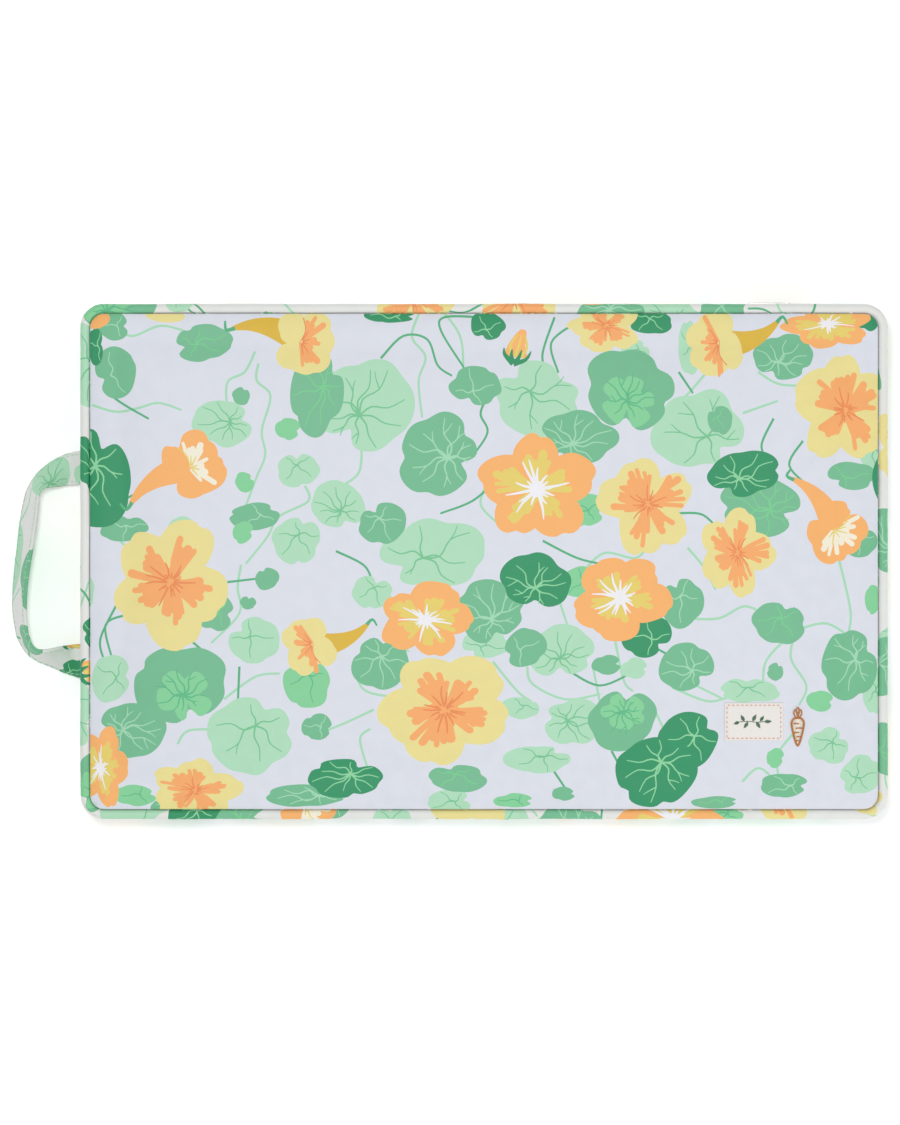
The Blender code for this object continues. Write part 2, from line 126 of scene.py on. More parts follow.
def on_edge(line, along):
    """Place and outward direction at a distance along an edge line."""
    along = np.mod(along, line[0][-1])
    turn = np.interp(along, line[0], line[3])
    return np.interp(along, *line[0:2]), np.interp(along, line[0], line[2]), np.cos(turn), np.sin(turn)


def inset_at(x, y):
    """How far in from the piping's outer line a place is."""
    over_x, over_y = abs(x) - (HALF_LENGTH - CORNER), abs(y) - (HALF_WIDTH - CORNER)
    away = np.hypot(np.maximum(over_x, 0), np.maximum(over_y, 0)) + np.minimum(np.maximum(over_x, over_y), 0)
    return CORNER - away


def new_piece(name, points, faces):
    """A smooth-shaded mesh object."""
    mesh = bpy.data.meshes.new(name)
    mesh.from_pydata(np.asarray(points).tolist(), [], faces)
    mesh.polygons.foreach_set("use_smooth", [True] * len(faces))
    made = bpy.data.objects.new(name, mesh)
    scene.collection.objects.link(made)
    return made


def loft(name, rings):
    """A closed solid through rings of the same number of points."""
    count, points = len(rings[0]), np.concatenate(rings)
    faces = [
        (i * count + j, i * count + (j + 1) % count, (i + 1) * count + (j + 1) % count, (i + 1) * count + j)
        for i in range(len(rings) - 1) for j in range(count)
    ]
    faces += [tuple(reversed(range(count))), tuple(range(len(points) - count, len(points)))]
    return new_piece(name, points, faces)


def level_rings(levels, count, height=None):
    """Rings round the pad at each (inset, z) in mm. Where z is None, height(x, y) gives it."""
    rings = []
    for inset, z in levels:
        line = edge_line(inset * MM)
        x, y, _, _ = on_edge(line, np.arange(count) / count * line[0][-1])
        rise = height(x, y) if height and z is None else np.full(count, (z or 0) * MM)
        rings.append(np.stack([x, y, rise], 1))
    return rings


def surface_of(made):
    """A piece's surface as it is now, to cast rays at."""
    graph = bpy.context.evaluated_depsgraph_get()
    mesh = made.evaluated_get(graph).to_mesh()
    places = [v.co.copy() for v in mesh.vertices]
    tree = BVHTree.FromPolygons(places, [tuple(p.vertices) for p in mesh.polygons])
    made.evaluated_get(graph).to_mesh_clear()
    return tree


def smoothed(table, passes):
    """A table with each value blended into its neighbours."""
    for _ in range(passes):
        for axis in (0, 1):
            wide = np.concatenate([table.take([0], axis), table, table.take([-1], axis)], axis)
            n = table.shape[axis]
            table = (wide.take(range(n), axis) + 2 * table + wide.take(range(2, n + 2), axis)) / 4
    return table


def read_table(table, low, step, a, b):
    """Smooth value between a table's rows and columns, by cubic B-spline."""
    value, parts = 0, []
    for k, place in enumerate((a, b)):
        size = table.shape[k]
        at = np.clip((place - low[k]) / step[k], 0, size - 1.001)
        base = np.floor(at).astype(int)
        f = at - base
        weights = ((1 - f) ** 3, 3 * f ** 3 - 6 * f ** 2 + 4, -3 * f ** 3 + 3 * f ** 2 + 3 * f + 1, f ** 3)
        parts.append([(np.clip(base + near - 1, 0, size - 1), w / 6) for near, w in enumerate(weights)])
    for row, row_weight in parts[0]:
        for column, column_weight in parts[1]:
            value = value + row_weight * column_weight * table[row, column]
    return value


def stuffed_tables():
    """Presses the sewn cover outwards from inside with its two piped seams held, as the foam does, and
    reads how far its top lifts and its sides swell."""
    seamed = loft("stuffed_cover", level_rings(
        [(60, 1.4), (9, 1.6), (4.8, 2.8), (3.7, 6), (3.5, 20), (3.7, 34), (4.8, 37.2), (9, 38.9), (16, 39.8),
         (30, 40.2), (60, 40.4), (130, 40.4)], 240))
    line = edge_line(3.5 * MM)
    runs = np.linspace(0, line[0][-1], SIDE_RUNS)
    zs = np.linspace(SIDE_LOW, SIDE_HIGH, SIDE_LEVELS) * MM

    def read(tree):
        """The top's heights and how far the side stands out."""
        top, side = np.zeros((len(TABLE_X), len(TABLE_Y))), np.zeros((len(runs), len(zs)))
        for i, x in enumerate(TABLE_X):
            for j, y in enumerate(TABLE_Y):
                hit = tree.ray_cast((x, y, ABOVE), (0, 0, -1))[0]
                top[i, j] = hit.z if hit else SEAM_Z
        for i, along in enumerate(runs):
            x, y, out_x, out_y = (float(v) for v in on_edge(line, along))
            for j, z in enumerate(zs):
                hit = tree.ray_cast((x + out_x * AWAY, y + out_y * AWAY, z), (-out_x, -out_y, 0))
                side[i, j] = AWAY - hit[3] if hit[0] else 0
        return top, side

    remesh = seamed.modifiers.new("voxels", "REMESH")
    remesh.mode, remesh.voxel_size = "VOXEL", 0.005
    bpy.context.view_layer.update()
    graph = bpy.context.evaluated_depsgraph_get()
    mesh = bpy.data.meshes.new_from_object(seamed.evaluated_get(graph))
    seamed.modifiers.clear()
    seamed.data = mesh
    bpy.context.view_layer.update()
    before = read(surface_of(seamed))
    held = seamed.vertex_groups.new(name="seams")
    for v in mesh.vertices:
        at_seam = min(abs(v.co.z - 37 * MM), abs(v.co.z - 3 * MM)) < 3 * MM
        if at_seam and inset_at(v.co.x, v.co.y) < 7 * MM or v.co.z < 3 * MM:
            held.add([v.index], 1.0, "REPLACE")
    cloth = seamed.modifiers.new("cover", "CLOTH")
    cloth.settings.use_pressure = True
    cloth.settings.uniform_pressure_force = 4
    cloth.settings.vertex_group_mass = "seams"
    cloth.settings.effector_weights.gravity = 0
    cloth.point_cache.frame_start, cloth.point_cache.frame_end = 1, FRAMES
    for number in range(1, FRAMES + 1):
        scene.frame_set(number)
    after = read(surface_of(seamed))
    scene.frame_set(1)
    bpy.data.objects.remove(seamed)
    lift = PUFF * np.tanh(np.maximum(after[0] - before[0], 0) / PUFF)
    inwards = inset_at(*np.meshgrid(TABLE_X, TABLE_Y, indexing="ij"))
    least = SEAM_Z + 0.6 * MM + 1.6 * MM * np.tanh(inwards / (14 * MM))
    swell = SIDE_PUFF * np.tanh(np.maximum(after[1] - before[1], 0) / SIDE_PUFF)
    return np.maximum(smoothed(before[0] + lift, 2), least), smoothed(swell, 2)


top_table, side_table = stuffed_tables()
BAND_RUN = edge_line(3.0 * MM)[0][-1]


def top_height(x, y):
    """The height of the cloth over the foam's top: level, then rolled down into the seam."""
    lifted = read_table(top_table, (TABLE_X[0], TABLE_Y[0]), (TABLE_STEP, TABLE_STEP), x, y)
    near = np.clip((inset_at(x, y) - SEAM_INSET) / ROLL, 0, 1)
    return SEAM_Z + (lifted - SEAM_Z) * np.sqrt(np.maximum(1 - (1 - near) ** 2, 0))


def side_swell(along, z):
    """How far the foam pushes the side out, that far round and up."""
    steps = BAND_RUN / (SIDE_RUNS - 1), (SIDE_HIGH - SIDE_LOW) / (SIDE_LEVELS - 1) * MM
    return read_table(side_table, (0, SIDE_LOW * MM), steps, np.mod(along, BAND_RUN), z)


UNDER_CLOTH = 2.6 * MM         # from the foam's top to the cloth over it
foam_sides = [(120, 1.5), (10.3, 1.5), (10.1, 4.1), (7.2, 4.6), (6.7, 6), (6.6, 13), (6.6, 27), (6.7, 34),
              (7.3, 35.4), (10.0, 35.9), (10.2, 37.9)]
foam_top = [(inset, None) for inset in (11.5, 13, 15, 18, 22, 28, 36, 48, 64, 84, 108, 130)]
foam_block = loft("foam_block", level_rings(
    foam_sides + foam_top, 200, lambda x, y: top_height(x, y) - UNDER_CLOTH))

# Polyurethane foam: a dull cream mass of fine open cells, about 1.2 mm across, with no gloss at all.
foam = new_material("open-cell polyurethane foam")
place = add_node(foam, "ShaderNodeTexCoord").outputs["Object"]
cells = add_node(foam, "ShaderNodeTexVoronoi", links={"Vector": place, "Scale": 1 / 0.0012})
tint = add_node(foam, "ShaderNodeMix", {"data_type": "RGBA"}, {
    0: cells.outputs["Distance"], 6: to_linear("#e6dcb8"), 7: to_linear("#f2ead0")})
pits = add_node(foam, "ShaderNodeBump", links={
    "Strength": 0.5, "Distance": 0.3 * MM, "Height": cells.outputs[0]})
finish_material(foam, tint.outputs[2], {
    "Roughness": 0.95, "Specular IOR Level": 0.1, "Normal": pits.outputs[0]})
foam_block.data.materials.append(foam)
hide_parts("foam_core")
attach(foam_block, "pad")

# ---- Printed cloth ----------------------------------------------------------------------
# Every visible panel, the bias strips on the piping and the handle are cut from one length of coated
# cotton, printed with round leaves on thin stems and open flowers in flat inks. Sizes here are in mm.
REPEAT = (480, 310)            # one repeat of the print
GROUND = "#dbdee7"
# Each leaf tone is the leaf's ink and its veins' ink.
PALE, MID = ("#afddbc", "#78c393"), ("#74bb91", "#a2d8b4")
BRIGHT, DARK = ("#85d09a", "#5fb987"), ("#339465", "#8fd3a0")
MID_GREEN_VEINED = ("#77bc93", "#79cc90")
YELLOW, DEEP_YELLOW, GOLD = "#e9dc93", "#e6cf6c", "#dcb53f"
ORANGE, STAR_ORANGE, RED_ORANGE = "#f7b36c", "#f6ab6a", "#ea8c55"
WHITE, CREAM = "#efeef2", "#f3ecd6"
WARM_GROUND_PAINTED_LIGHTER = "#e4e5e1"        # the same cloth's ground, warmer and painted a little lighter than the face's: painted light for how the light falls on the rounded piping
cloth_print = []


def paint(ink, shape):
    """Adds one closed shape to the print, over what is there."""
    shape = np.array(shape, float)
    x, y = shape[:, 0], shape[:, 1]
    if np.sum(x * np.roll(y, -1) - np.roll(x, -1) * y) < 0:
        shape = shape[::-1]
    cloth_print.append((ink, shape))


def curve_through(points, steps):
    """A smooth line through a few points."""
    points = np.array(points, float)
    wide = np.concatenate([points[:1], points, points[-1:]])
    line = []
    for i in range(len(points) - 1):
        a, b, c, d = wide[i:i + 4]
        for f in np.arange(steps) / steps:
            pull = 2 * a - 5 * b + 4 * c - d + f * (3 * b - a - 3 * c + d)
            line.append(b + 0.5 * f * (c - a + f * pull))
    return np.array(line + [points[-1]])


def crosswise(run):
    """The same step, turned a quarter to the left."""
    return np.array([-run[1], run[0]])


def spoke(angle, reach, aside=0.0):
    """A place that far out from a flower's middle, and a little to one side."""
    c, s = math.cos(angle), math.sin(angle)
    return c * reach - s * aside, s * reach + c * aside


def stroke(points, start, end, steps=4):
    """The outline of one brush stroke, start wide at its first point and end wide at its last."""
    line = curve_through(points, steps)
    ahead = np.gradient(line, axis=0)
    ahead /= np.maximum(np.linalg.norm(ahead, axis=1, keepdims=True), 1e-9)
    side = np.stack([-ahead[:, 1], ahead[:, 0]], 1)
    half = np.linspace(start, end, len(line))[:, None] / 2
    round_end = [ahead[-1] * math.sin(a) - side[-1] * math.cos(a) for a in (0.8, 1.57, 2.34)]
    tip = [line[-1] + half[-1] * reach for reach in round_end]
    return np.concatenate([line - side * half, tip, (line + side * half)[::-1]])


def rounded(dips, sway, count, draw):
    """A unit-wide rounded outline that waves a little and pulls in at dips of (direction, depth, spread)."""
    around = np.arange(count) / count * 2 * np.pi
    reach = 1 + sum(sway / k * np.sin((k + 1) * around + draw.uniform(0, 6.28)) for k in (1, 2, 4))
    for where, depth, spread in dips:
        off = (around - math.radians(where) + np.pi) % (2 * np.pi) - np.pi
        reach -= depth * np.exp(-(off / math.radians(spread)) ** 2)
    return 0.5 * np.stack([reach * np.cos(around), reach * np.sin(around)], 1)


def set_down(shape, x, y, w, h, turn):
    """A unit shape turned, then made w by h mm at a place."""
    c, s = math.cos(math.radians(turn)), math.sin(math.radians(turn))
    return np.asarray(shape) @ np.array([[c, s], [-s, c]]) * (w, h) + (x, y)


def stem(ink, width, *points):
    """A thin stalk along a few points."""
    paint(ink, stroke(points, width, width * 0.85, 6))


def leaf(x, y, w, h, turn, tone, lobes=5, heart=None):
    """A round leaf with shallow lobes, a notch where its stem joins, and veins from an off-centre hub.
    A heart is a second, smaller leaf shape in its middle."""
    draw = random.Random(f"leaf {x} {y}")
    size = (w + h) / 2
    dips = [(360 / lobes * k + draw.uniform(-14, 14), draw.uniform(0.03, 0.17), draw.uniform(8, 19))
            for k in range(lobes)]
    dips[0] = (dips[0][0], draw.uniform(0.24, 0.36), 12)
    outline = set_down(rounded(dips, 0.06, int(26 + size * 0.9), draw), x, y, w, h, turn)
    paint(tone[0], outline)
    if size < 15:
        return
    hub = set_down([(0.14, 0.0)], x, y, w, h, turn + dips[0][0])[0]
    if heart:
        deep = [(a, depth * 2.2 + 0.08, spread * 0.8) for a, depth, spread in dips]
        paint(heart[0], set_down(rounded(deep, 0.05, 56, draw), *hub, w * 0.62, h * 0.62, turn))
    vein = (heart or tone)[1]
    aims = []
    for k in range(lobes):
        a, b = dips[k][0], dips[(k + 1) % lobes][0] + (360 if k == lobes - 1 else 0)
        if size < 30 or lobes > 5:
            aims.append((a + b) / 2 + draw.uniform(-8, 8))
        else:
            aims += [a + (b - a) * 0.3, a + (b - a) * 0.72]
    for a in aims:
        rim = outline[int(a / 360 * len(outline)) % len(outline)]
        run = (rim - hub) * draw.uniform(0.7, 0.93) * (0.66 if heart else 1)
        bow = crosswise(run) * draw.uniform(0.05, 0.12) * draw.choice((-1, 1))
        thick = min(1.2, 0.55 + size * 0.012)
        bend = hub + run * 0.62 - bow * 0.5
        paint(vein, stroke([hub, hub + run * 0.3 + bow, bend, hub + run], thick, thick * 0.5, 3))
        if size > 36 and draw.random() < 0.4:
            fork = hub + run * 0.86 + crosswise(run) * draw.uniform(0.16, 0.26) * draw.choice((-1, 1))
            middle = bend * 0.45 + fork * 0.55 + bow * 0.2
            paint(vein, stroke([bend, middle, fork], thick * 0.7, thick * 0.4, 2))


def flower(x, y, w, h, turn, petal, patch, centre):
    """An open flower of five broad petals, each with a brushed patch, and a ragged star in the middle."""
    draw = random.Random(f"flower {x} {y}")
    lay_down = lambda shape: set_down(shape, x, y, w, h, 0)
    angles = [turn + 72 * k + draw.uniform(-12, 12) for k in range(5)]
    for a in angles:
        long, wide = draw.uniform(0.46, 0.58), draw.uniform(0.37, 0.5)
        dips = [(draw.uniform(-34, 34), 0.12, 12), (draw.uniform(50, 70), -0.05, 20), (180, -0.2, 30)]
        one = rounded(dips, 0.06, 38, draw) * (long, wide) + (0.52 - long / 2 - draw.uniform(0.0, 0.05), 0)
        paint(petal, lay_down(set_down(one, 0, 0, 1, 1, a)))
    paint(petal, lay_down(rounded([], 0.02, 14, draw) * 0.3))
    open_star = centre == WHITE
    paint(patch, lay_down(rounded([], 0.12, 14, draw) * (0.13 if open_star else 0.19)))
    for a in angles:
        reach = draw.uniform(0.28, 0.38) if open_star else draw.uniform(0.3, 0.42)
        fingers = draw.choice((4, 5, 6))
        arm = math.radians(a)
        paint(patch, lay_down(stroke([(0, 0), spoke(arm, reach * 0.55)], 0.08, draw.uniform(0.11, 0.16), 2)))
        for k in range(fingers):
            off = k - (fingers - 1) / 2
            lean = arm + math.radians(off * 9.5 + draw.uniform(-4, 4))
            end = reach * draw.uniform(0.66, 1.08) * (1 - 0.05 * abs(off))
            ends = [spoke(lean, 0.04), spoke(lean, end / 2, draw.uniform(-0.02, 0.02)), spoke(lean, end)]
            paint(patch, lay_down(stroke(ends, 0.04, draw.uniform(0.035, 0.075), 2)))
    if open_star:
        paint(centre, lay_down(rounded([], 0.15, 14, draw) * 0.13))
    for k in range(17):
        lean = math.radians(turn + k * 21.2 + draw.uniform(-9, 9))
        reach = draw.choice((0.11, 0.15, 0.19, 0.27)) if open_star else draw.choice((0.07, 0.11, 0.15, 0.2))
        start = 0.02 if open_star else draw.uniform(0.015, 0.05)
        swing = lean + draw.uniform(-0.1, 0.1)
        ends = [spoke(lean, start), spoke(swing, start + (reach - start) * 0.6), spoke(lean, reach)]
        paint(centre, lay_down(stroke(ends, 0.032 if open_star else 0.017, 0.01, 2)))


def side_flower(x, y, w, h, turn, petal, throat, spur):
    """A flower seen from its side: ruffled petals round a hollow throat, with a long spur behind."""
    draw = random.Random(f"side {x} {y}")
    lay_down = lambda shape: set_down(np.array(shape, float), x, y, w, h, turn)
    trumpet = [(-0.05, 0.04), (-0.42, 0.1), (-0.74, 0.07), (-1.02, -0.04)]
    paint(spur, lay_down(stroke(trumpet, 0.42, 0.035, 5)))
    paint(GREEN_STEM, lay_down(stroke([(-0.96, -0.02), (-1.08, -0.07), (-1.12, 0.04)], 0.06, 0.03, 3)))
    for px, py, along, across, lean in ((0.2, 0.13, 0.6, 0.62, 20), (0.16, -0.2, 0.66, 0.5, -25),
                                        (-0.08, -0.22, 0.42, 0.4, 0), (-0.14, 0.16, 0.4, 0.5, 60)):
        dips = [(draw.uniform(-40, 40), 0.12, 13), (draw.uniform(100, 160), 0.08, 14)]
        paint(petal, lay_down(set_down(rounded(dips, 0.07, 36, draw), px, py, along, across, lean)))
    fan = [(-70 + 15 * k + draw.uniform(-6, 6), draw.uniform(0.2, 0.46)) for k in range(11)]
    fine = DEEP_YELLOW if petal == ORANGE else RED_ORANGE
    in_throat = lambda angle, reach: np.array(spoke(math.radians(angle), reach)) * (0.75, 1) + (0.02, 0)
    for angle, reach in fan:
        ends = [in_throat(angle, r) for r in (0.02, reach * 0.6, reach)]
        paint(throat, lay_down(stroke(ends, 0.07, draw.uniform(0.04, 0.1), 2)))
    for angle, reach in fan[::2]:
        ends = [in_throat(angle + 5, r) for r in (0.03, reach * 0.35, reach * 0.6)]
        paint(fine, lay_down(stroke(ends, 0.025, 0.012, 2)))
    paint(petal, lay_down(rounded([(10, 0.1, 20)], 0.06, 24, draw) * (0.3, 0.42) + (-0.1, 0.14)))
    paint(fine, lay_down(stroke([(-0.02, 0.33), (0.05, 0.16), (0.0, -0.02)], 0.016, 0.01, 4)))


def bud(x, y, w, h, turn):
    """A closed flower in its green cup."""
    lay_down = lambda shape: set_down(shape, x, y, w, h, turn)
    draw = random.Random(f"bud {x} {y}")
    paint(ORANGE, lay_down(stroke([(-0.3, 0), (0.0, 0.04), (0.36, 0)], 0.62, 0.22, 5)))
    for side in (-0.16, 0.0, 0.15):
        fold = [(-0.28, side * 0.7), (0.0, side * 1.3), (0.3, side * 0.6)]
        paint(DEEP_YELLOW, lay_down(stroke(fold, 0.1, 0.03, 3)))
    for side in (-0.26, -0.08, 0.1, 0.26):
        sepal = [(-0.48, 0), (-0.3, side), (draw.uniform(-0.16, 0.0), side * 1.25)]
        paint(DARK[0], lay_down(stroke(sepal, 0.16, 0.03, 3)))


PALE_STEM, GREEN_STEM = "#a6dab6", "#57b07f"
for points in (
    ((-230, 137), (-214, 135), (-204, 131), (-188, 137), (-171, 133)),
    ((-228, 91), (-214, 87), (-201, 89), (-189, 92), (-176, 88)),
    ((-133, 122), (-139, 110), (-149, 104), (-149, 88)),
    ((-131, 115), (-132, 105), (-124, 96), (-129, 76), (-127, 62), (-132, 49), (-138, 33)),
    ((-97, 150), (-100, 130), (-97, 112)), ((-36, 148), (-42, 131), (-34, 119), (-38, 105), (-36, 84)),
    ((-26, 148), (-14, 131), (-12, 111)), ((-71, 66), (-73, 51), (-86, 42)),
    ((-104, 44), (-102, 35), (-119, 26), (-126, 14), (-138, -1)),
    ((-141, -2), (-143, -15), (-142, -30), (-158, -47)), ((-151, -80), (-133, -67), (-119, -65)),
    ((-178, -106), (-171, -98), (-149, -98)), ((-64, -86), (-79, -93), (-91, -98)),
    ((-48, -79), (-69, -75), (-76, -61)), ((25, -61), (28, -71), (47, -80), (67, -77)),
    ((5, -58), (19, -75), (27, -81)), ((109, -73), (129, -81), (141, -79)),
    ((117, -33), (136, -33), (151, -26), (163, -31)), ((181, -40), (164, -57), (162, -74)),
    ((181, -40), (178, -56), (187, -72), (183, -83)), ((181, -40), (199, -36), (215, -46)),
    ((206, 2), (213, -29), (211, -44)), ((184, -95), (171, -111), (171, -126)),
    ((159, 110), (171, 103), (187, 102)), ((150, 86), (170, 93)), ((131, 112), (117, 96), (109, 92)),
    ((-66, -97), (-72, -103), (-68, -119)), ((44, -24), (49, -39)), ((76, -46), (81, -69), (86, -75)),
    ((63, -60), (67, -81)), ((97, -82), (105, -99)), ((119, -70), (139, -80)),
    ((-218, 20), (-205, 6), (-190, 3)), ((2, 46), (-2, 33), (8, 22)),
    ((58, -5), (70, 5), (88, 2), (96, 11)), ((118, 8), (128, -4), (134, -16)),
    ((-60, -60), (-52, -48), (-44, -52)), ((150, -128), (160, -120), (172, -131)),
):
    stem(PALE_STEM, 1.5, *points)
for points in (
    ((-219, 98), (-209, 91), (-195, 83)), ((-60, 118), (-47, 131), (-33, 129), (-27, 114), (-19, 108)),
    ((-2, 142), (-23, 142), (-25, 134), (-12, 113)), ((-197, 42), (-213, 35), (-221, 39)),
    ((41, 142), (34, 121), (36, 110)), ((52, 138), (39, 127), (43, 110)),
    ((0, 92), (-2, 85), (2, 75), (-6, 62)), ((6, 46), (-7, 35), (-25, 28)), ((113, 110), (121, 98)),
    ((168, 83), (161, 68), (164, 59)), ((185, 70), (177, 56), (188, 44)),
    ((113, 28), (127, 27), (138, 16)), ((34, 12), (54, 2), (71, -2)),
    ((-214, -26), (-223, -45), (-221, -57)), ((-208, -31), (-220, -37), (-216, -57)),
    ((-149, -12), (-132, -10)), ((-142, -61), (-143, -84)), ((-86, 6), (-70, -2), (-65, -11)),
    ((50, -64), (67, -72), (85, -65)), ((74, -110), (81, -123)), ((38, -118), (48, -133)),
    ((101, -51), (112, -57)), ((-4, -58), (4, -70), (-3, -84)), ((-170, -46), (-160, -56), (-161, -66)),
):
    stem(GREEN_STEM, 1.4, *points)
for x, y, w, h, turn, lobes in (
    (-152, 80, 34, 28, 20, 5), (-68, 91, 54, 56, 245, 5), (-108, 53, 24, 21, 100, 4),
    (-85, 33, 33, 27, 300, 5), (-109, 12, 27, 29, 60, 5), (31, 94, 52, 43, 120, 6),
    (-28, 5, 61, 43, 200, 6), (-217, -68, 23, 28, 10, 4), (-136, -101, 53, 44, 70, 6),
    (-133, -46, 28, 29, 140, 4), (-65, -18, 23, 20, 80, 4), (1, -48, 27, 17, 210, 4),
    (44, -52, 40, 31, 265, 5), (87, -62, 16, 12, 0, 3), (21, -85, 22, 13, 60, 3),
    (53, -93, 36, 29, 180, 5), (31, -115, 38, 17, 30, 5), (124, 77, 53, 47, 330, 6),
    (119, 124, 13, 32, 0, 4), (154, -75, 34, 15, 90, 4), (226, -75, 13, 28, 0, 4),
    (200, -107, 24, 21, 40, 5), (219, -124, 24, 24, 200, 5), (-176, 20, 15, 13, 0, 3),
    (-20, -140, 24, 16, 0, 4), (228, 62, 18, 22, 120, 4), (88, 122, 16, 14, 30, 3),
    (-238, -18, 22, 30, 80, 4),
):
    leaf(x, y, w, h, turn, PALE, lobes)
for x, y, w, h, turn, lobes in (
    (-163, 127, 34, 22, 200, 5), (-214, 110, 25, 29, 200, 2), (-97, 97, 33, 46, 30, 4),
    (-59, 22, 28, 25, 110, 5), (-27, 62, 47, 48, 330, 5), (-5, 102, 32, 22, 240, 4),
    (55, 72, 48, 30, 250, 5), (-209, 19, 28, 15, 90, 3), (-133, 26, 28, 17, 45, 3),
    (-157, -29, 23, 24, 0, 4), (-204, -98, 42, 31, 190, 5), (-103, -136, 48, 14, 0, 4),
    (-60, -59, 35, 30, 70, 4), (3, -28, 42, 38, 280, 5), (24, -50, 24, 23, 210, 3),
    (71, -60, 18, 11, 0, 3), (-15, -126, 35, 16, 100, 4), (46, -135, 14, 8, 0, 3),
    (115, -24, 24, 30, 130, 4), (117, -61, 31, 29, 320, 4), (171, -36, 32, 25, 60, 5),
    (212, -60, 31, 44, 20, 4), (174, 119, 34, 28, 250, 5), (137, 82, 14, 18, 130, 3),
    (160, 32, 49, 34, 330, 5), (214, 50, 29, 16, 200, 3), (218, 11, 21, 18, 90, 3),
    (174, -130, 27, 15, 0, 4), (-216, 137, 19, 17, 0, 3), (-141, 96, 11, 10, 80, 3),
    (-126, -10, 14, 13, 100, 3), (-137, -24, 9, 8, 90, 3), (169, -64, 10, 10, 60, 3),
    (-97, -96, 17, 16, 0, 3), (134, -140, 28, 7, 0, 3), (-183, -142, 22, 10, 0, 3),
):
    leaf(x, y, w, h, turn, MID if (x + y) % 3 else MID_GREEN_VEINED, lobes)
leaf(84, 100, 50, 50, 255, MID, 5, BRIGHT)
leaf(-176, -71, 55, 48, 300, MID, 5, BRIGHT)
for x, y, w, h, turn, lobes in (
    (-114, 77, 14, 14, 0, 3), (-139, 46, 11, 12, 30, 3), (-140, 17, 12, 13, 0, 3),
    (-103, -70, 27, 32, 60, 4), (57, 30, 27, 21, 0, 4), (55, -12, 20, 19, 45, 3),
    (-203, -136, 24, 13, 0, 3), (195, -81, 15, 13, 0, 3), (169, -114, 10, 12, 0, 3),
    (226, -22, 9, 18, 0, 3), (17, -139, 22, 9, 0, 3),
):
    leaf(x, y, w, h, turn, BRIGHT, lobes)
leaf(80, -92, 41, 35, 80, MID, 5, BRIGHT)
for x, y, w, h, turn, lobes in (
    (-229, 48, 47, 60, 70, 4), (-226, 125, 10, 21, 0, 3), (-55, 143, 29, 9, 0, 3),
    (2, 137, 20, 17, 250, 4), (97, 139, 25, 15, 90, 4), (151, 51, 42, 27, 230, 5),
    (30, -11, 42, 32, 260, 5), (94, -43, 29, 25, 330, 4), (118, -104, 36, 33, 35, 3),
    (100, -122, 46, 43, 75, 5), (-81, -126, 42, 24, 60, 5), (223, 141, 14, 15, 0, 3),
    (-240, 80, 20, 30, 0, 4),
):
    leaf(x, y, w, h, turn, DARK, lobes)
for x, y, w, h, turn in (
    (-182, -12, 72, 77, 60), (-23, -86, 81, 68, 40), (210, 88, 62, 67, 15), (95, 33, 58, 58, 30),
    (147, 5, 45, 52, 75), (-168, -133, 56, 38, 10), (71, 137, 45, 32, 35),
):
    flower(x, y, w, h, turn, YELLOW, STAR_ORANGE, RED_ORANGE)
for x, y, w, h, turn in (
    (31, 42, 69, 65, 20), (79, -21, 61, 54, 50), (-34, -34, 58, 47, 5), (200, 138, 56, 30, 30),
    (-223, -120, 32, 50, 0),
):
    flower(x, y, w, h, turn, ORANGE, DEEP_YELLOW, WHITE)
side_flower(-171, 54, 40, 42, 28, ORANGE, CREAM, ORANGE)
side_flower(203, 19, 38, 38, -52, ORANGE, CREAM, ORANGE)
side_flower(-107, 128, 40, 42, -12, YELLOW, STAR_ORANGE, GOLD)
side_flower(137, 127, 36, 42, 196, YELLOW, STAR_ORANGE, GOLD)
side_flower(-99, -48, 34, 36, 198, YELLOW, STAR_ORANGE, GOLD)
bud(20, 125, 24, 22, 75)
paint(ORANGE, set_down(rounded([], 0.06, 16, random.Random(4)), -226, 141, 16, 12, 0))
paint(YELLOW, set_down(rounded([], 0.06, 16, random.Random(5)), -185, 143, 24, 8, 0))

# Cotton with a clear acrylic coat, screen printed: flat ink colours on a smooth, slightly waxy face that
# takes a broad soft shine. The weave is 0.5 mm a thread and shows only as a fine grain under the coat.
BAND = math.pi / 10            # a wave texture's scale for bands a metre apart
printed_cotton = new_material("printed coated cotton")
ink = add_node(printed_cotton, "ShaderNodeAttribute", {"attribute_name": "ink"})
on_cloth = add_node(printed_cotton, "ShaderNodeUVMap", {"uv_map": "cloth"})
blotch = add_node(printed_cotton, "ShaderNodeTexNoise", links={
    "Vector": on_cloth.outputs[0], "Scale": 1 / 0.009, "Detail": 3.0})
patchy = add_node(printed_cotton, "ShaderNodeMapRange", links={
    "Value": blotch.outputs["Fac"], "From Min": 0.3, "From Max": 0.7, "To Min": 0.975, "To Max": 1.02})
inked = add_node(printed_cotton, "ShaderNodeMix", {"data_type": "RGBA", "blend_type": "MULTIPLY"}, {
    0: 1.0, 6: ink.outputs["Color"], 7: patchy.outputs[0]})
threads = [
    add_node(printed_cotton, "ShaderNodeTexWave", {"bands_direction": way, "wave_profile": "SIN"}, {
        "Vector": on_cloth.outputs[0], "Scale": BAND / 0.0005, "Distortion": 1.5, "Detail": 1.0})
    for way in ("X", "Y")]
weave = add_node(printed_cotton, "ShaderNodeMath", {"operation": "MULTIPLY"}, {
    0: threads[0].outputs["Fac"], 1: threads[1].outputs["Fac"]})
grain = add_node(printed_cotton, "ShaderNodeBump", links={
    "Strength": 0.16, "Distance": 0.08 * MM, "Height": weave.outputs[0]})
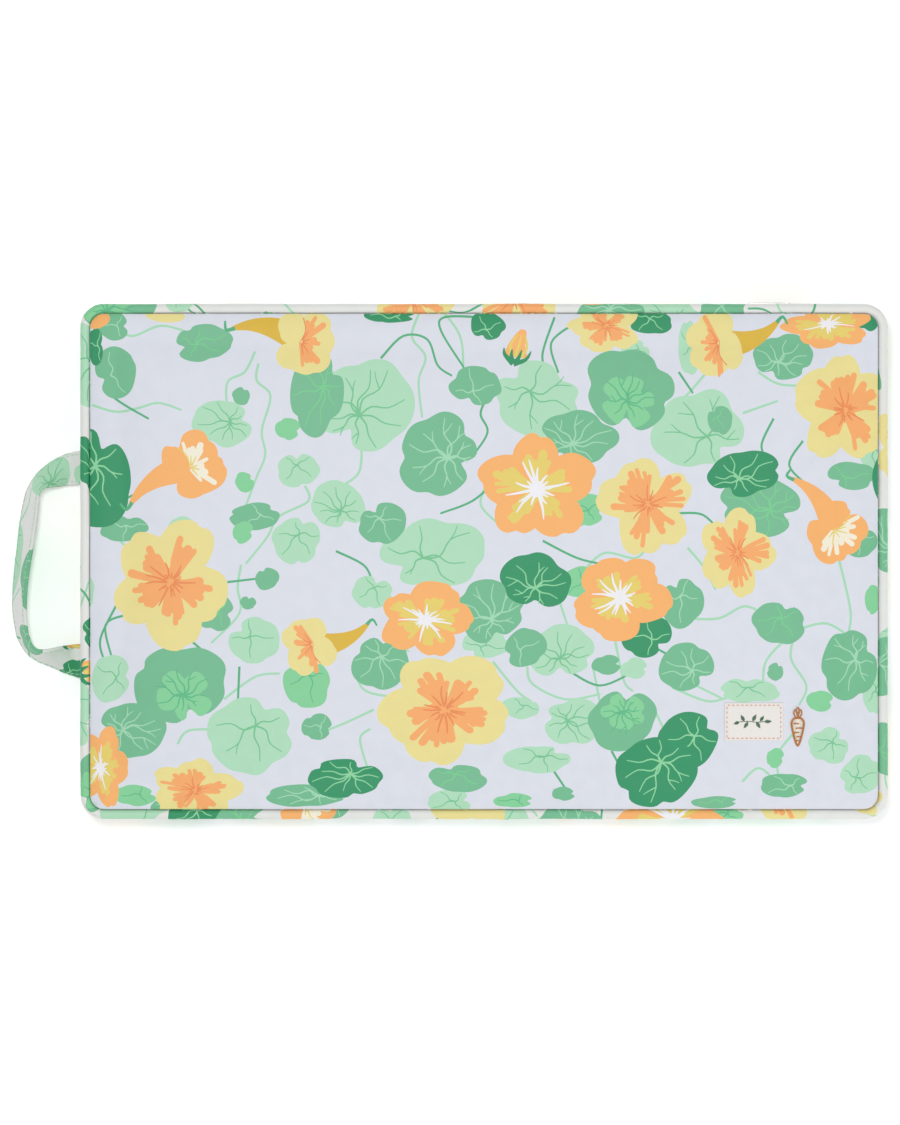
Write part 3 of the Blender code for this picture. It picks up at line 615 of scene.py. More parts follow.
waxy = add_node(printed_cotton, "ShaderNodeMapRange", links={
    "Value": blotch.outputs["Fac"], "From Min": 0.3, "From Max": 0.7, "To Min": 0.5, "To Max": 0.6})
finish_material(printed_cotton, inked.outputs[2], {
    "Roughness": waxy.outputs[0], "Specular IOR Level": 0.32, "Sheen Weight": 0.06, "Sheen Roughness": 0.5,
    "Normal": grain.outputs[0]})


FARTHEST = 320                 # mm, more than any shape reaches from the middle of its repeat


def cut_cloth(name, outline, lay, spacing, cut_at, turn=0.0, ground=GROUND):
    """Cuts one piece out of the print along an outline in mm, and lays it: lay(u, v) gives its place in
    metres. The inks keep sharp edges, because the mesh is divided along them."""
    outline = np.array(outline, float)
    low, high = outline.min(0), outline.max(0)
    c, s = math.cos(math.radians(turn)), math.sin(math.radians(turn))
    onto_piece = np.array([[c, -s], [s, c]])
    shapes, inks = [outline], [ground]
    reach = np.linalg.norm(high - low) + 100
    repeats = int(reach / min(REPEAT)) + 3
    tiles = range(-repeats, repeats + 1)
    offsets = [np.array((REPEAT[0] * i, REPEAT[1] * j)) - cut_at for i in tiles for j in tiles]
    offsets = [offset for offset in offsets if all(
        (offset @ onto_piece > low - FARTHEST) & (offset @ onto_piece < high + FARTHEST))]
    longest = 1.2 * min(spacing)
    for colour, shape in cloth_print:
        for offset in offsets:
            moved = (shape + offset) @ onto_piece
            if (moved.max(0) > low).all() and (moved.min(0) < high).all():
                ahead = np.roll(moved, -1, 0) - moved
                cuts = np.maximum(np.ceil(np.linalg.norm(ahead, axis=1) / longest).astype(int), 1)
                share = np.concatenate([np.arange(n) / n for n in cuts])[:, None]
                shapes.append(np.repeat(moved, cuts, 0) + np.repeat(ahead, cuts, 0) * share)
                inks.append(colour)
    across = np.meshgrid(*(np.arange(low[k] + spacing[k] * 0.5, high[k], spacing[k]) for k in (0, 1)))
    points = np.concatenate(shapes + [np.stack([across[0].ravel(), across[1].ravel()], 1)])
    starts = np.cumsum([0] + [len(shape) for shape in shapes])
    loops = [list(range(a, b)) for a, b in zip(starts, starts[1:])]
    verts, _, faces, _, _, from_faces = delaunay_2d_cdt(points.tolist(), [], loops, 0, 1e-4)
    kept = [(face, max(ids)) for face, ids in zip(faces, from_faces) if 0 in ids]
    flat = np.array([tuple(v) for v in verts])
    used = np.unique(np.concatenate([face for face, _ in kept]))
    number = np.full(len(flat), -1)
    number[used] = np.arange(len(used))
    u, v = flat[used].T
    step = 0.25                # mm to either side of a point, to find which way the cloth faces there
    before_u, after_u = lay(np.maximum(u - step, low[0]), v), lay(np.minimum(u + step, high[0]), v)
    before_v, after_v = lay(u, np.maximum(v - step, low[1])), lay(u, np.minimum(v + step, high[1]))
    normals = np.cross(after_u - before_u, after_v - before_v)
    normals /= np.maximum(np.linalg.norm(normals, axis=1, keepdims=True), 1e-15)
    made = new_piece(name, lay(u, v), [number[list(face)].tolist() for face, _ in kept])
    mesh = made.data
    palette = {colour: to_linear(colour) for colour in set(inks)}
    colours = np.concatenate([np.tile(palette[inks[top]], (len(face), 1)) for face, top in kept])
    mesh.color_attributes.new("ink", "FLOAT_COLOR", "CORNER").data.foreach_set("color", colours.ravel())
    corner = np.array([loop.vertex_index for loop in mesh.loops])
    on_print = np.stack([u, v], 1) @ onto_piece.T + cut_at
    mesh.uv_layers.new(name="cloth").data.foreach_set("uv", (on_print[corner] * MM).ravel())
    mesh.normals_split_custom_set_from_vertices(normals.tolist())
    mesh.materials.append(printed_cotton)
    return made


def waves(place, lengths, seed):
    """Uneven waves from 0 to 1 along a seam, with a few wavelengths in mm."""
    draw = random.Random(seed)
    total = sum(np.sin(place / (length * MM) * 2 * np.pi + draw.uniform(0, 6.28)) for length in lengths)
    return 0.5 + 0.5 * total / len(lengths)


def box_outline(length, width, step):
    """A rectangle from (0, 0), with points every step mm along its long sides."""
    along = np.linspace(0, length, max(2, int(length / step)))
    up = np.linspace(0, width, max(2, int(width / min(step, 0.7))))[1:-1]
    return np.concatenate([
        np.stack([along, along * 0], 1), np.stack([up * 0 + length, up], 1),
        np.stack([along[::-1], along * 0 + width], 1), np.stack([up * 0, up[::-1]], 1)])


# ---- Top panel --------------------------------------------------------------------------
# The face that is knelt on: one rectangle of the printed cotton, sewn along its edge into the top piped
# seam and drawn tight over the foam, with small puckers where the seam takes it in.
def lay_top(u, v):
    """A place on the face, from its place on the flat panel in mm."""
    x, y = u * MM, v * MM
    edge = np.maximum(inset_at(x, y) - SEAM_INSET, 0)
    on_end = HALF_LENGTH - abs(x) < HALF_WIDTH - abs(y)
    along = np.where(on_end, y + 0.3 * np.sign(x), x + 0.9 * np.sign(y))
    corner = np.hypot(np.maximum(abs(x) - 200 * MM, 0), np.maximum(abs(y) - 115 * MM, 0)) / (40 * MM)
    drawn_in = waves(along, (47, 29, 17.3, 11.1), 3) ** 2
    drawn_in = drawn_in * np.exp(-edge / (7 * MM)) * (1 - np.exp(-edge / (2 * MM)))
    lumps = waves(x + 0.4 * y, (190, 133, 88), 5) + waves(y - 0.3 * x, (150, 97, 71), 8) - 1
    z = top_height(x, y) - 1.5 * MM * drawn_in * np.clip(1.3 - corner, 0.2, 1)
    return np.stack([x, y, z + 0.5 * MM * lumps * (1 - np.exp(-edge / (25 * MM)))], -1)


panel_line = edge_line(SEAM_INSET + 0.1 * MM)
panel_x, panel_y, _, _ = on_edge(panel_line, np.arange(740) / 740 * panel_line[0][-1])
panel_outline = np.stack([panel_x, panel_y], 1) / MM
top_panel = cut_cloth("top_panel_cloth", panel_outline, lay_top, (3.1, 3.1), (0, 0))
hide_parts("top_panel")
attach(top_panel, "pad")

# ---- Base panel -------------------------------------------------------------------------
# The face that lies on the ground: the same cotton, flat under the pad's weight, turned up a little at
# its edge where the lower piped seam takes it in.
def lay_base(u, v):
    """A place on the underside, from its place on the flat panel in mm."""
    x, y = -u * MM, v * MM
    edge = np.maximum(inset_at(x, y) - SEAM_INSET, 0)
    z = 0.3 * MM + 1.4 * MM * np.exp(-edge / (3 * MM)) + 0.15 * MM * waves(x + y, (60, 31), 2)
    return np.stack([x, y, z], -1)


base_panel = cut_cloth("base_panel_cloth", panel_outline, lay_base, (5.1, 5.1), (230, 150))
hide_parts("base_panel")
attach(base_panel, "pad")

# ---- Side band --------------------------------------------------------------------------
# One long strip of the cotton round three sides and the ends of the fourth, sewn between the two piped
# seams. The foam swells it between them, and the seams pucker it top and bottom.
BAND_LOW, BAND_HIGH = 5.6 * MM, 34.4 * MM
ZIP_HALF = 199.6 * MM          # half of the length that the zip's own strips take up
band_line = edge_line(3.0 * MM)


def lay_band_at(along, z, seed=11):
    """A place on the side band, between the seams."""
    x, y, out_x, out_y = on_edge(band_line, along)
    up, down = np.maximum(BAND_HIGH - z, 0), np.maximum(z - BAND_LOW, 0)
    out = side_swell(along, z)
    for off, number in ((up, seed), (down, seed + 1)):
        out = out - 0.9 * MM * waves(along, (37, 23, 13.1), number) ** 2 * np.exp(-off / (4 * MM))
    return np.stack([x + out_x * out, y + out_y * out, z + 0 * out], -1)


band_length = BAND_RUN - 2 * ZIP_HALF
side_band = cut_cloth(
    "side_band_cloth", box_outline(band_length / MM, (BAND_HIGH - BAND_LOW) / MM, 3),
    lambda u, v: lay_band_at(ZIP_HALF + u * MM, BAND_LOW + v * MM), (3.0, 2.4), (-120, 60))
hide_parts("side_band")
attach(side_band, "pad")

# ---- Piping -----------------------------------------------------------------------------
# A 3 mm twisted cotton cord in a bias strip of the printed cotton, one run round the top seam and one
# round the base seam. Each strip's edges go into the seam, and its ends lap over each other once.
PIPING_ACROSS, TO_CLOTH = 5.6, 2.75         # mm over the piping, and from its middle to its cloth
FLANGE = 3.6                                # mm of the strip's edges that go into the seam
rim = np.radians(np.linspace(-170, 170, 69))
into_seam = [-PIPING_ACROSS - FLANGE]
profile_out = np.concatenate([into_seam, -PIPING_ACROSS / 2 + TO_CLOTH * np.cos(rim), into_seam]) * MM
profile_up = np.concatenate([[-0.5], TO_CLOTH * np.sin(rim), [0.5]]) * MM
profile_run = np.concatenate([[0], np.cumsum(np.hypot(np.diff(profile_out), np.diff(profile_up)))])
STRIP_WIDTH = profile_run[-1] / MM
outer_line = edge_line(0.0)
OUTER_RUN = outer_line[0][-1]
LAP = OUTER_RUN / 2 + 12 * MM               # the lap lies near the middle of the side away from the zip


def piping_cover(name, centre_z, node, cut_at, turn, seed, bulge):
    """One run of piping. Its strip bulges by that share where its ends lap."""
    def lay(u, v):
        along = LAP + u * MM
        x, y, out_x, out_y = on_edge(outer_line, along)
        run = v * MM
        out, up = np.interp(run, profile_run, profile_out), np.interp(run, profile_run, profile_up)
        near_seam = np.minimum(run, profile_run[-1] - run) - FLANGE * MM
        round_part = np.clip(near_seam / (2 * MM), 0, 1)
        swell = 0.045 * waves(along + run * 0.8, (8.3, 5.9, 13), seed) - 0.02
        near_lap = np.minimum(u, OUTER_RUN / MM - u)
        swell = swell + bulge * np.exp(-(near_lap / 4.5) ** 2)
        out = out + (out + PIPING_ACROSS / 2 * MM) * swell * round_part
        up = up * (1 + swell * round_part)
        drift = 0.35 * MM * (waves(along, (160, 83, 51), seed + 1) - 0.5)
        rise = 0.3 * MM * (waves(along, (120, 67, 39), seed + 2) - 0.5)
        out = np.minimum(out + drift, 0.9 * MM)
        return np.stack([x + out_x * out, y + out_y * out, centre_z + up + rise * round_part], -1)

    outline = box_outline(OUTER_RUN / MM, STRIP_WIDTH, 2.2)
    # The strip's ground is painted a little lighter than the face's, as painted light for how the light falls
    # on the rounded piping.
    cover = cut_cloth(name, outline, lay, (2.2, 1.2), cut_at, turn, WARM_GROUND_PAINTED_LIGHTER)
    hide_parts(node)
    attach(cover, "pad")


piping_cover("top_piping_cloth", 37.0 * MM, "top_piping_cover", (-60, 80), -30, 21, 0.16)
piping_cover("base_piping_cloth", 3.1 * MM, "base_piping_cover", (-235, 105), 60, 31, 0.05)

# Three-ply cotton cord: a matt cream rope whose plies show as slanting ridges, about 2 mm a turn.
twisted_cotton = new_material("twisted cotton cord")
place = add_node(twisted_cotton, "ShaderNodeTexCoord").outputs["Object"]
plies = add_node(twisted_cotton, "ShaderNodeTexWave", {"bands_direction": "DIAGONAL"}, {
    "Vector": place, "Scale": BAND / 0.002, "Distortion": 2.0})
tint = add_node(twisted_cotton, "ShaderNodeMix", {"data_type": "RGBA"}, {
    0: plies.outputs["Fac"], 6: to_linear("#d8d0bd"), 7: to_linear("#eee9dc")})
ridges = add_node(twisted_cotton, "ShaderNodeBump", links={
    "Strength": 0.7, "Distance": 0.4 * MM, "Height": plies.outputs["Fac"]})
finish_material(twisted_cotton, tint.outputs[2], {
    "Roughness": 0.9, "Specular IOR Level": 0.2, "Normal": ridges.outputs[0]})
for node in ("top_piping_cord", "base_piping_cord"):
    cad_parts[node].data.materials.clear()
    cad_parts[node].data.materials.append(twisted_cotton)

# ---- Zip strips and end tabs ------------------------------------------------------------
# Two strips of the cotton carry the zip along one long side, each folded under along the teeth and sewn
# down 2 mm from its fold. A folded tab of the cotton covers each end of the zip.
FOLD = 1.2                     # mm of cloth in the turn at the fold
TURNING = 6.0                  # mm folded under
STRIP_GAP = (14.8 * MM, 25.2 * MM)


def zip_strip(name, node, edge_z, fold_z, cut_at):
    """Face cloth from the seam to the fold, round it, and a turning behind."""
    face = abs(fold_z - edge_z) / MM
    up = 1 if fold_z > edge_z else -1

    def lay(u, v):
        v = v if up > 0 else face + FOLD + TURNING - v
        turned = np.clip((v - face) / FOLD, 0, 1) * np.pi
        z = edge_z + up * (np.minimum(v, face) + 0.35 * np.sin(turned) - np.maximum(v - face - FOLD, 0)) * MM
        back = 0.7 * MM * (1 - np.cos(turned)) / 2
        along = -ZIP_HALF + u * MM
        place = lay_band_at(along, z, 15)
        x, y, out_x, out_y = on_edge(band_line, along)
        pulled = 0.25 * MM * np.exp(-((v - face + 2.2) / 0.7) ** 2) + back
        place[..., 0] -= out_x * pulled
        place[..., 1] -= out_y * pulled
        return place

    width = face + FOLD + TURNING
    strip = cut_cloth(name, box_outline(2 * ZIP_HALF / MM, width, 3), lay, (3.0, 0.6), cut_at)
    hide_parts(node)
    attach(strip, "pad")


zip_strip("zip_strip_upper_cloth", "zip_strip_upper", BAND_HIGH, STRIP_GAP[1], (-90, 110))
zip_strip("zip_strip_lower_cloth", "zip_strip_lower", BAND_LOW, STRIP_GAP[0], (-60, -30))


def end_tab(name, node, cut_at):
    """A pad of cloth folded in at both sides, over the end of the zip."""
    low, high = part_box(node)
    wide, tall = (high.x - low.x) / MM, (high.z - low.z) / MM
    sides = np.array([(2.0, 0.75), (0.5, 0.75), (0.0, 0.4), (0.45, 0.05), (2.0, 0.0), (wide - 2, 0.0),
                      (wide - 0.45, 0.05), (wide, 0.4), (wide - 0.5, 0.75), (wide - 2, 0.75)])
    sides = curve_through(sides, 4)
    run = np.concatenate([[0], np.cumsum(np.hypot(*np.diff(sides, axis=0).T))])

    def lay(u, v):
        x = high.x - np.interp(u, run, sides[:, 0]) * MM
        soft = 0.25 * MM * (((v / tall) * 2 - 1) ** 6)
        swell = side_swell(-x, low.z + v * MM) * 0.9
        y = high.y + 0.35 * MM - np.interp(u, run, sides[:, 1]) * MM - soft + swell
        return np.stack([x, y, low.z + v * MM], -1)

    tab = cut_cloth(name, box_outline(run[-1], tall, 0.4), lay, (0.4, 1.2), cut_at)
    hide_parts(node)
    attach(tab, "pad")


end_tab("zip_end_tab_left_cloth", "zip_end_tab_left", (40, 60))
end_tab("zip_end_tab_right_cloth", "zip_end_tab_right", (-200, -20))


def thread(name, colour, light, pitch):
    """Sewing or embroidery thread: plied, with a soft sheen, its twist showing as fine slanting ridges."""
    material = new_material(name)
    where = add_node(material, "ShaderNodeTexCoord").outputs["Object"]
    twist = add_node(material, "ShaderNodeTexWave", {"bands_direction": "DIAGONAL"}, {
        "Vector": where, "Scale": BAND / pitch, "Distortion": 1.0})
    shade = add_node(material, "ShaderNodeMix", {"data_type": "RGBA"}, {
        0: twist.outputs["Fac"], 6: to_linear(colour), 7: to_linear(light)})
    ply = add_node(material, "ShaderNodeBump", links={
        "Strength": 0.4, "Distance": 0.1 * MM, "Height": twist.outputs["Fac"]})
    return finish_material(material, shade.outputs[2], {
        "Roughness": 0.5, "Sheen Weight": 0.25, "Sheen Roughness": 0.4, "Normal": ply.outputs[0]})


def bars(name, ends, faces, width, thickness, material,
         body="pad", steps=(0.0, 0.12, 0.5, 0.88, 1.0), bow=1.0):
    """Short stitches in one piece: each runs between two points on a surface, swells in its middle and dips
    at its ends where the needle took it down."""
    corners, quads = [], []
    sides = 6
    for (a, b), face in zip(ends, faces):
        a, b, face = np.array(a, float), np.array(b, float), np.array(face, float)
        ahead = (b - a) / max(np.linalg.norm(b - a), 1e-9)
        across = np.cross(face, ahead)
        across /= max(np.linalg.norm(across), 1e-9)
        first = len(corners)
        for share in steps:
            full = 0.25 + 0.75 * math.sin(math.pi * (0.12 + 0.76 * share))
            dip = thickness * bow * (0.5 - (2 * share - 1) ** 2 * 0.55)
            middle = a + (b - a) * share + face * dip
            for turn in np.arange(sides) / sides * 2 * np.pi:
                aside, above = width / 2 * full * math.cos(turn), thickness / 2 * full * math.sin(turn)
                corners.append(middle + across * aside + face * above)
        for i in range(len(steps) - 1):
            for k in range(sides):
                one, two = first + i * sides + k, first + i * sides + (k + 1) % sides
                quads.append((one, two, two + sides, one + sides))
        last = first + (len(steps) - 1) * sides
        quads += [tuple(reversed(range(first, first + sides))), tuple(range(last, last + sides))]
    made = new_piece(name, corners, quads)
    made.data.materials.append(material)
    if body:
        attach(made, body)
    return made


green_thread = thread("pale green polyester thread", "#9fd4ae", "#c4e6cc", 0.0006)
stitch_ends, stitch_faces = [], []
for fold_z, side in ((STRIP_GAP[1], 1), (STRIP_GAP[0], -1)):
    for start in np.arange(-196, 193, 3.4) * MM:
        pair = []
        for along in (start, start + 2.6 * MM):
            spot = lay_band_at(np.array(along), np.array(fold_z + side * 2.2 * MM), 15)
            pair.append(spot + (0, -0.12 * MM, 0))
        stitch_ends.append(pair)
        stitch_faces.append((0, 1, 0))
bars("zip_topstitching", stitch_ends, stitch_faces, 0.5 * MM, 0.35 * MM, green_thread)

# ---- Zip tapes and coils ----------------------------------------------------------------
# A number 5 closed-end zip: two woven polyester tapes, each with a continuous nylon coil sewn along its
# edge with chain stitch. The two coils mesh, so that they read as one row of fine oblique teeth.
TOOTH_PITCH = 1.35 * MM

# Woven polyester tape: a dull off-white herringbone, 0.6 mm a rib.
polyester_tape = new_material("woven polyester tape")
place = add_node(polyester_tape, "ShaderNodeTexCoord").outputs["Object"]
rib = add_node(polyester_tape, "ShaderNodeTexWave", {"bands_direction": "DIAGONAL"}, {
    "Vector": place, "Scale": BAND / 0.0006, "Distortion": 0.5})
tint = add_node(polyester_tape, "ShaderNodeMix", {"data_type": "RGBA"}, {
    0: rib.outputs["Fac"], 6: to_linear("#cfcfca"), 7: to_linear("#e6e6e1")})
ribs = add_node(polyester_tape, "ShaderNodeBump", links={
    "Strength": 0.4, "Distance": 0.1 * MM, "Height": rib.outputs["Fac"]})
finish_material(polyester_tape, tint.outputs[2], {
    "Roughness": 0.8, "Specular IOR Level": 0.25, "Normal": ribs.outputs[0]})

# Nylon monofilament: translucent white plastic with a soft gloss, a little yellower in its depth.
nylon = new_material("nylon monofilament")
place = add_node(nylon, "ShaderNodeTexCoord").outputs["Object"]
cloud = add_node(nylon, "ShaderNodeTexNoise", links={"Vector": place, "Scale": 1 / 0.002})
tint = add_node(nylon, "ShaderNodeMix", {"data_type": "RGBA"}, {
    0: cloud.outputs["Fac"], 6: to_linear("#dcdcd2"), 7: to_linear("#f0f0ea")})
scuffs = add_node(nylon, "ShaderNodeMapRange", links={
    "Value": cloud.outputs["Fac"], "To Min": 0.3, "To Max": 0.45})
finish_material(nylon, tint.outputs[2], {"Roughness": scuffs.outputs[0], "IOR": 1.53})


def tube(name, path, radius, sides, material):
    """A round wire along a path of points in metres."""
    ahead = np.gradient(path, axis=0)
    ahead /= np.maximum(np.linalg.norm(ahead, axis=1, keepdims=True), 1e-12)
    side = np.cross(ahead[0], (0.3, 0.5, 0.81))
    rings = []
    for point, forward, r in zip(path, ahead, radius):
        side = side - forward * side.dot(forward)
        side /= np.linalg.norm(side)
        other = np.cross(forward, side)
        around = np.arange(sides) / sides * 2 * np.pi
        rings.append([point + r * (side * math.cos(a) + other * math.sin(a)) for a in around])
    made = loft(name, rings)
    made.data.materials.append(material)
    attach(made, "pad")
    return made


for part, side in (("upper", 1), ("lower", -1)):
    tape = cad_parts[f"zip_tape_{part}"]
    tape.data.materials.clear()
    tape.data.materials.append(polyester_tape)
    low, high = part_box(f"zip_coil_{part}")
    turns = int((high.x - low.x - 1.4 * MM) / TOOTH_PITCH)
    steps = np.arange(turns * 10 + 1)
    angle = steps / 10 * 2 * np.pi
    middle_z, middle_y = (low.z + high.z) / 2, (low.y + high.y) / 2
    wire = 0.36 * MM
    reach_z, reach_y = (high.z - low.z) / 2 - wire, (high.y - low.y) / 2 - wire
    # The inner end of each loop is pressed wide and reaches into the gap, to hold the other coil's loops.
    inner = np.cos(angle) * side < -0.5
    path = np.stack([
        low.x + 0.4 * MM + steps / 10 * TOOTH_PITCH + (0.5 * TOOTH_PITCH if side > 0 else 0),
        middle_y + reach_y * np.sin(angle),
        middle_z + reach_z * np.cos(angle) - side * np.where(inner, 0.95 * MM, 0)], 1)
    coil = tube(f"zip_coil_{part}_teeth", path, np.where(inner, wire * 1.15, wire), 5, nylon)
    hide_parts(f"zip_coil_{part}")

# ---- Zip slider and pull ----------------------------------------------------------------
# A die-cast zinc slider, nickel plated and tumbled: two plates with turned-in flanges joined by a post,
# a staple on the outer plate, and a flat tapered pull that hangs on the staple by its eye.
nickel = new_material("tumbled nickel plate")
place = add_node(nickel, "ShaderNodeTexCoord").outputs["Object"]
rubbed = add_node(nickel, "ShaderNodeTexNoise", links={"Vector": place, "Scale": 1 / 0.0015, "Detail": 4.0})
tint = add_node(nickel, "ShaderNodeMix", {"data_type": "RGBA"}, {
    0: rubbed.outputs["Fac"], 6: to_linear("#b9b7b0"), 7: to_linear("#d2d0ca")})
haze = add_node(nickel, "ShaderNodeMapRange", links={
    "Value": rubbed.outputs["Fac"], "To Min": 0.24, "To Max": 0.42})
finish_material(nickel, tint.outputs[2], {"Roughness": haze.outputs[0], "Metallic": 1.0})
for node in ("zip_slider", "zip_pull"):
    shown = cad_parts[node]
    shown.data.materials.clear()
    shown.data.materials.append(nickel)
    rounded_edges = shown.modifiers.new("cast edges", "BEVEL")
    rounded_edges.width, rounded_edges.segments, rounded_edges.limit_method = 0.25 * MM, 2, "ANGLE"

# ---- Carry handle -----------------------------------------------------------------------
# A strip of the printed cotton folded round a plain webbing and sewn along both edges, 20 mm wide. Its
# ends go into the band above the base seam, and it stands on its outer edge as it rounds the loop.
HINGE_X, HINGE_Z = -237.5 * MM, 7.2 * MM
LOOP_REACH, LOOP_SPREAD, LOOP_MIDDLE = 35.5 * MM, 113.8 * MM, -1.6 * MM
STRAP_WIDTH, STRAP_THICK = 20 * MM, 2.2 * MM
# Along the loop: share of its reach, share of half its spread, heading and tilt in degrees.
strap_stations = np.array([
    (0.00, 1.00, -90, 0), (0.12, 0.99, -90, 8), (0.30, 0.97, -90, 21), (0.52, 0.92, -83, 44),
    (0.66, 0.86, -64, 59), (0.75, 0.77, -39, 62), (0.80, 0.66, -19, 59), (0.85, 0.45, -7, 56),
    (0.91, 0.17, -1, 58), (0.98, -0.18, 0, 61), (1.00, -0.46, 4, 63), (0.955, -0.70, 16, 66),
    (0.86, -0.85, 38, 70), (0.73, -0.93, 63, 71), (0.55, -0.965, 82, 63), (0.36, -0.98, 88, 47),
    (0.15, -0.995, 90, 24), (0.00, -1.00, 90, 0)])
shares = curve_through(strap_stations, 6)
headings, tilts = np.radians(shares[:, 2]), np.radians(shares[:, 3])
standing = STRAP_WIDTH / 2 * np.sin(tilts) + STRAP_THICK / 2 * np.cos(tilts) + 0.25 * MM
loop_middle = np.stack([
    HINGE_X - 0.3 * MM - LOOP_REACH * shares[:, 0], LOOP_MIDDLE + LOOP_SPREAD / 2 * shares[:, 1],
    np.maximum(HINGE_Z * (1 - 3 * shares[:, 0]), standing)], 1)
loop_across = np.stack([np.cos(headings) * np.cos(tilts), np.sin(headings) * np.cos(tilts), np.sin(tilts)], 1)
loop_face = np.stack([-np.cos(headings) * np.sin(tilts), -np.sin(headings) * np.sin(tilts), np.cos(tilts)], 1)
sewn_in = np.array([(12.0, 0, 0), (8.0, 0, 0), (4.0, 0, 0), (1.8, 0, 0)]) * MM
strap_middle = np.concatenate([loop_middle[0] + sewn_in, loop_middle, loop_middle[-1] + sewn_in[::-1]])
strap_across, strap_face = (
    np.concatenate([np.tile(way[0], (4, 1)), way, np.tile(way[-1], (4, 1))])
    for way in (loop_across, loop_face))
strap_run = np.concatenate([[0], np.cumsum(np.linalg.norm(np.diff(strap_middle, axis=0), axis=1))])
# Once round the strap, from the lap under its middle: underside, outer edge, top, inner edge, underside.
half, thick = 10.0, 1.1
round_edge = [
    (half - 0.75 + 0.75 * math.sin(a), -thick * math.cos(a)) for a in np.linspace(0, np.pi, 7)]
strap_section = [(0.0, -thick)] + [(x, -thick) for x in (3.0, 6.0, 8.6)] + round_edge
strap_section += [(8.6, thick), (8.0, thick * 0.82), (7.4, thick), (4.0, thick * 1.06)]
strap_section = np.array(strap_section + [(0.0, thick * 1.1)] + [(-x, z) for x, z in reversed(strap_section)])
section_run = np.concatenate([[0], np.cumsum(np.hypot(*np.diff(strap_section, axis=0).T))])


def along_strap(table, run):
    """What a table along the strap holds, that far along it."""
    return np.stack([np.interp(run, strap_run, table[:, k]) for k in range(3)], -1)


def lay_strap(u, v):
    """A place on the strap, from its place on the flat strip in mm."""
    run = u * MM
    across = np.interp(v, section_run, strap_section[:, 0]) * MM
    up = np.interp(v, section_run, strap_section[:, 1]) * MM
    ripple = 0.22 * MM * (waves(run + across * 0.3, (23, 14.2, 9.1), 41) - 0.5) * np.sign(up)
    place = along_strap(strap_middle, run) + along_strap(strap_across, run) * across[..., None]
    return place + along_strap(strap_face, run) * (up + ripple)[..., None]


strap_length = strap_run[-1] / MM
strap_outline = box_outline(strap_length, section_run[-1], 2.4)
# The strap takes the piping's warmer ground, painted a little lighter than the face's as painted light.
strap = cut_cloth("handle_strap", strap_outline, lay_strap, (2.4, 1.3), (-96, -3), 45, WARM_GROUND_PAINTED_LIGHTER)
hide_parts("handle_cover", "handle_end_back", "handle_end_front")
strap_stitches, strap_faces = [], []
for side in (-1, 1):
    for start in np.arange(7.0, strap_length - 9.0, 3.2):
        ends = []
        for run in (start, start + 2.4):
            middle, aside, above = (
                along_strap(table, run * MM) for table in (strap_middle, strap_across, strap_face))
            ends.append(middle + aside * side * 8.0 * MM + above * 0.98 * MM)
        strap_stitches.append(ends)
        strap_faces.append(along_strap(strap_face, (start + 1.2) * MM))
strap_stitching = bars("handle_stitching", strap_stitches, strap_faces, 0.55 * MM, 0.4 * MM, green_thread,
                       body=None)
for piece in (strap, strap_stitching):
    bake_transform(piece)

# Cotton webbing: a coarse plain weave in natural cream, 1.4 mm a rib, hidden inside the strap.
webbing = new_material("cotton webbing")
place = add_node(webbing, "ShaderNodeTexCoord").outputs["Object"]
rib = add_node(webbing, "ShaderNodeTexWave", {"bands_direction": "Y"}, {
    "Vector": place, "Scale": BAND / 0.0014})
tint = add_node(webbing, "ShaderNodeMix", {"data_type": "RGBA"}, {
    0: rib.outputs["Fac"], 6: to_linear("#cfc6ae"), 7: to_linear("#e6dfcc")})
ribs = add_node(webbing, "ShaderNodeBump", links={
    "Strength": 0.6, "Distance": 0.2 * MM, "Height": rib.outputs["Fac"]})
finish_material(webbing, tint.outputs[2], {
    "Roughness": 0.9, "Specular IOR Level": 0.2, "Normal": ribs.outputs[0]})
webbing_section = [
    (math.copysign(abs(math.cos(a)) ** 0.4 * 7.4, math.cos(a)), math.sin(a) * 0.3 - 0.1)
    for a in np.arange(16) / 8 * np.pi]
webbing_rings = []
for run in np.linspace(2.5 * MM, strap_run[-1] - 2.5 * MM, 120):
    middle, aside, above = (along_strap(table, run) for table in (strap_middle, strap_across, strap_face))
    webbing_rings.append([middle + (aside * across * MM + above * up * MM) for across, up in webbing_section])
core = loft("handle_webbing", webbing_rings)
core.data.materials.append(webbing)
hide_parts("handle_core")
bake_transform(core)

# ---- Label ------------------------------------------------------------------------------
# A woven cream label with its ends folded under, laid on the top panel and held by a running stitch in
# salmon thread just inside its edge. A small leafy sprig is worked in its middle in dark green.
low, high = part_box("woven_label")
label_middle, LABEL_LONG, LABEL_WIDE = (low + high) / 2, high.x - low.x, high.y - low.y


def over_panel(x, y, rise):
    """A place that much above the top panel's cloth."""
    spot = lay_top(np.asarray(x, float) / MM, np.asarray(y, float) / MM)
    return spot + np.array((0, 0, 1.0)) * np.asarray(rise)[..., None]


def label_rise(u, v):
    """The label's face: flat, rounded at its folded ends, a little raised between stitches at its edge."""
    edge = np.minimum(LABEL_LONG / 2 - abs(u), LABEL_WIDE / 2 - abs(v))
    drawn = np.exp(-((edge - 1.4 * MM) / (0.6 * MM)) ** 2)
    soft = 0.65 * MM * np.sqrt(np.clip(1 - (1 - np.clip(edge / (0.5 * MM), 0, 1)) ** 2, 0, 1))
    return 0.1 * MM + soft - 0.2 * MM * drawn


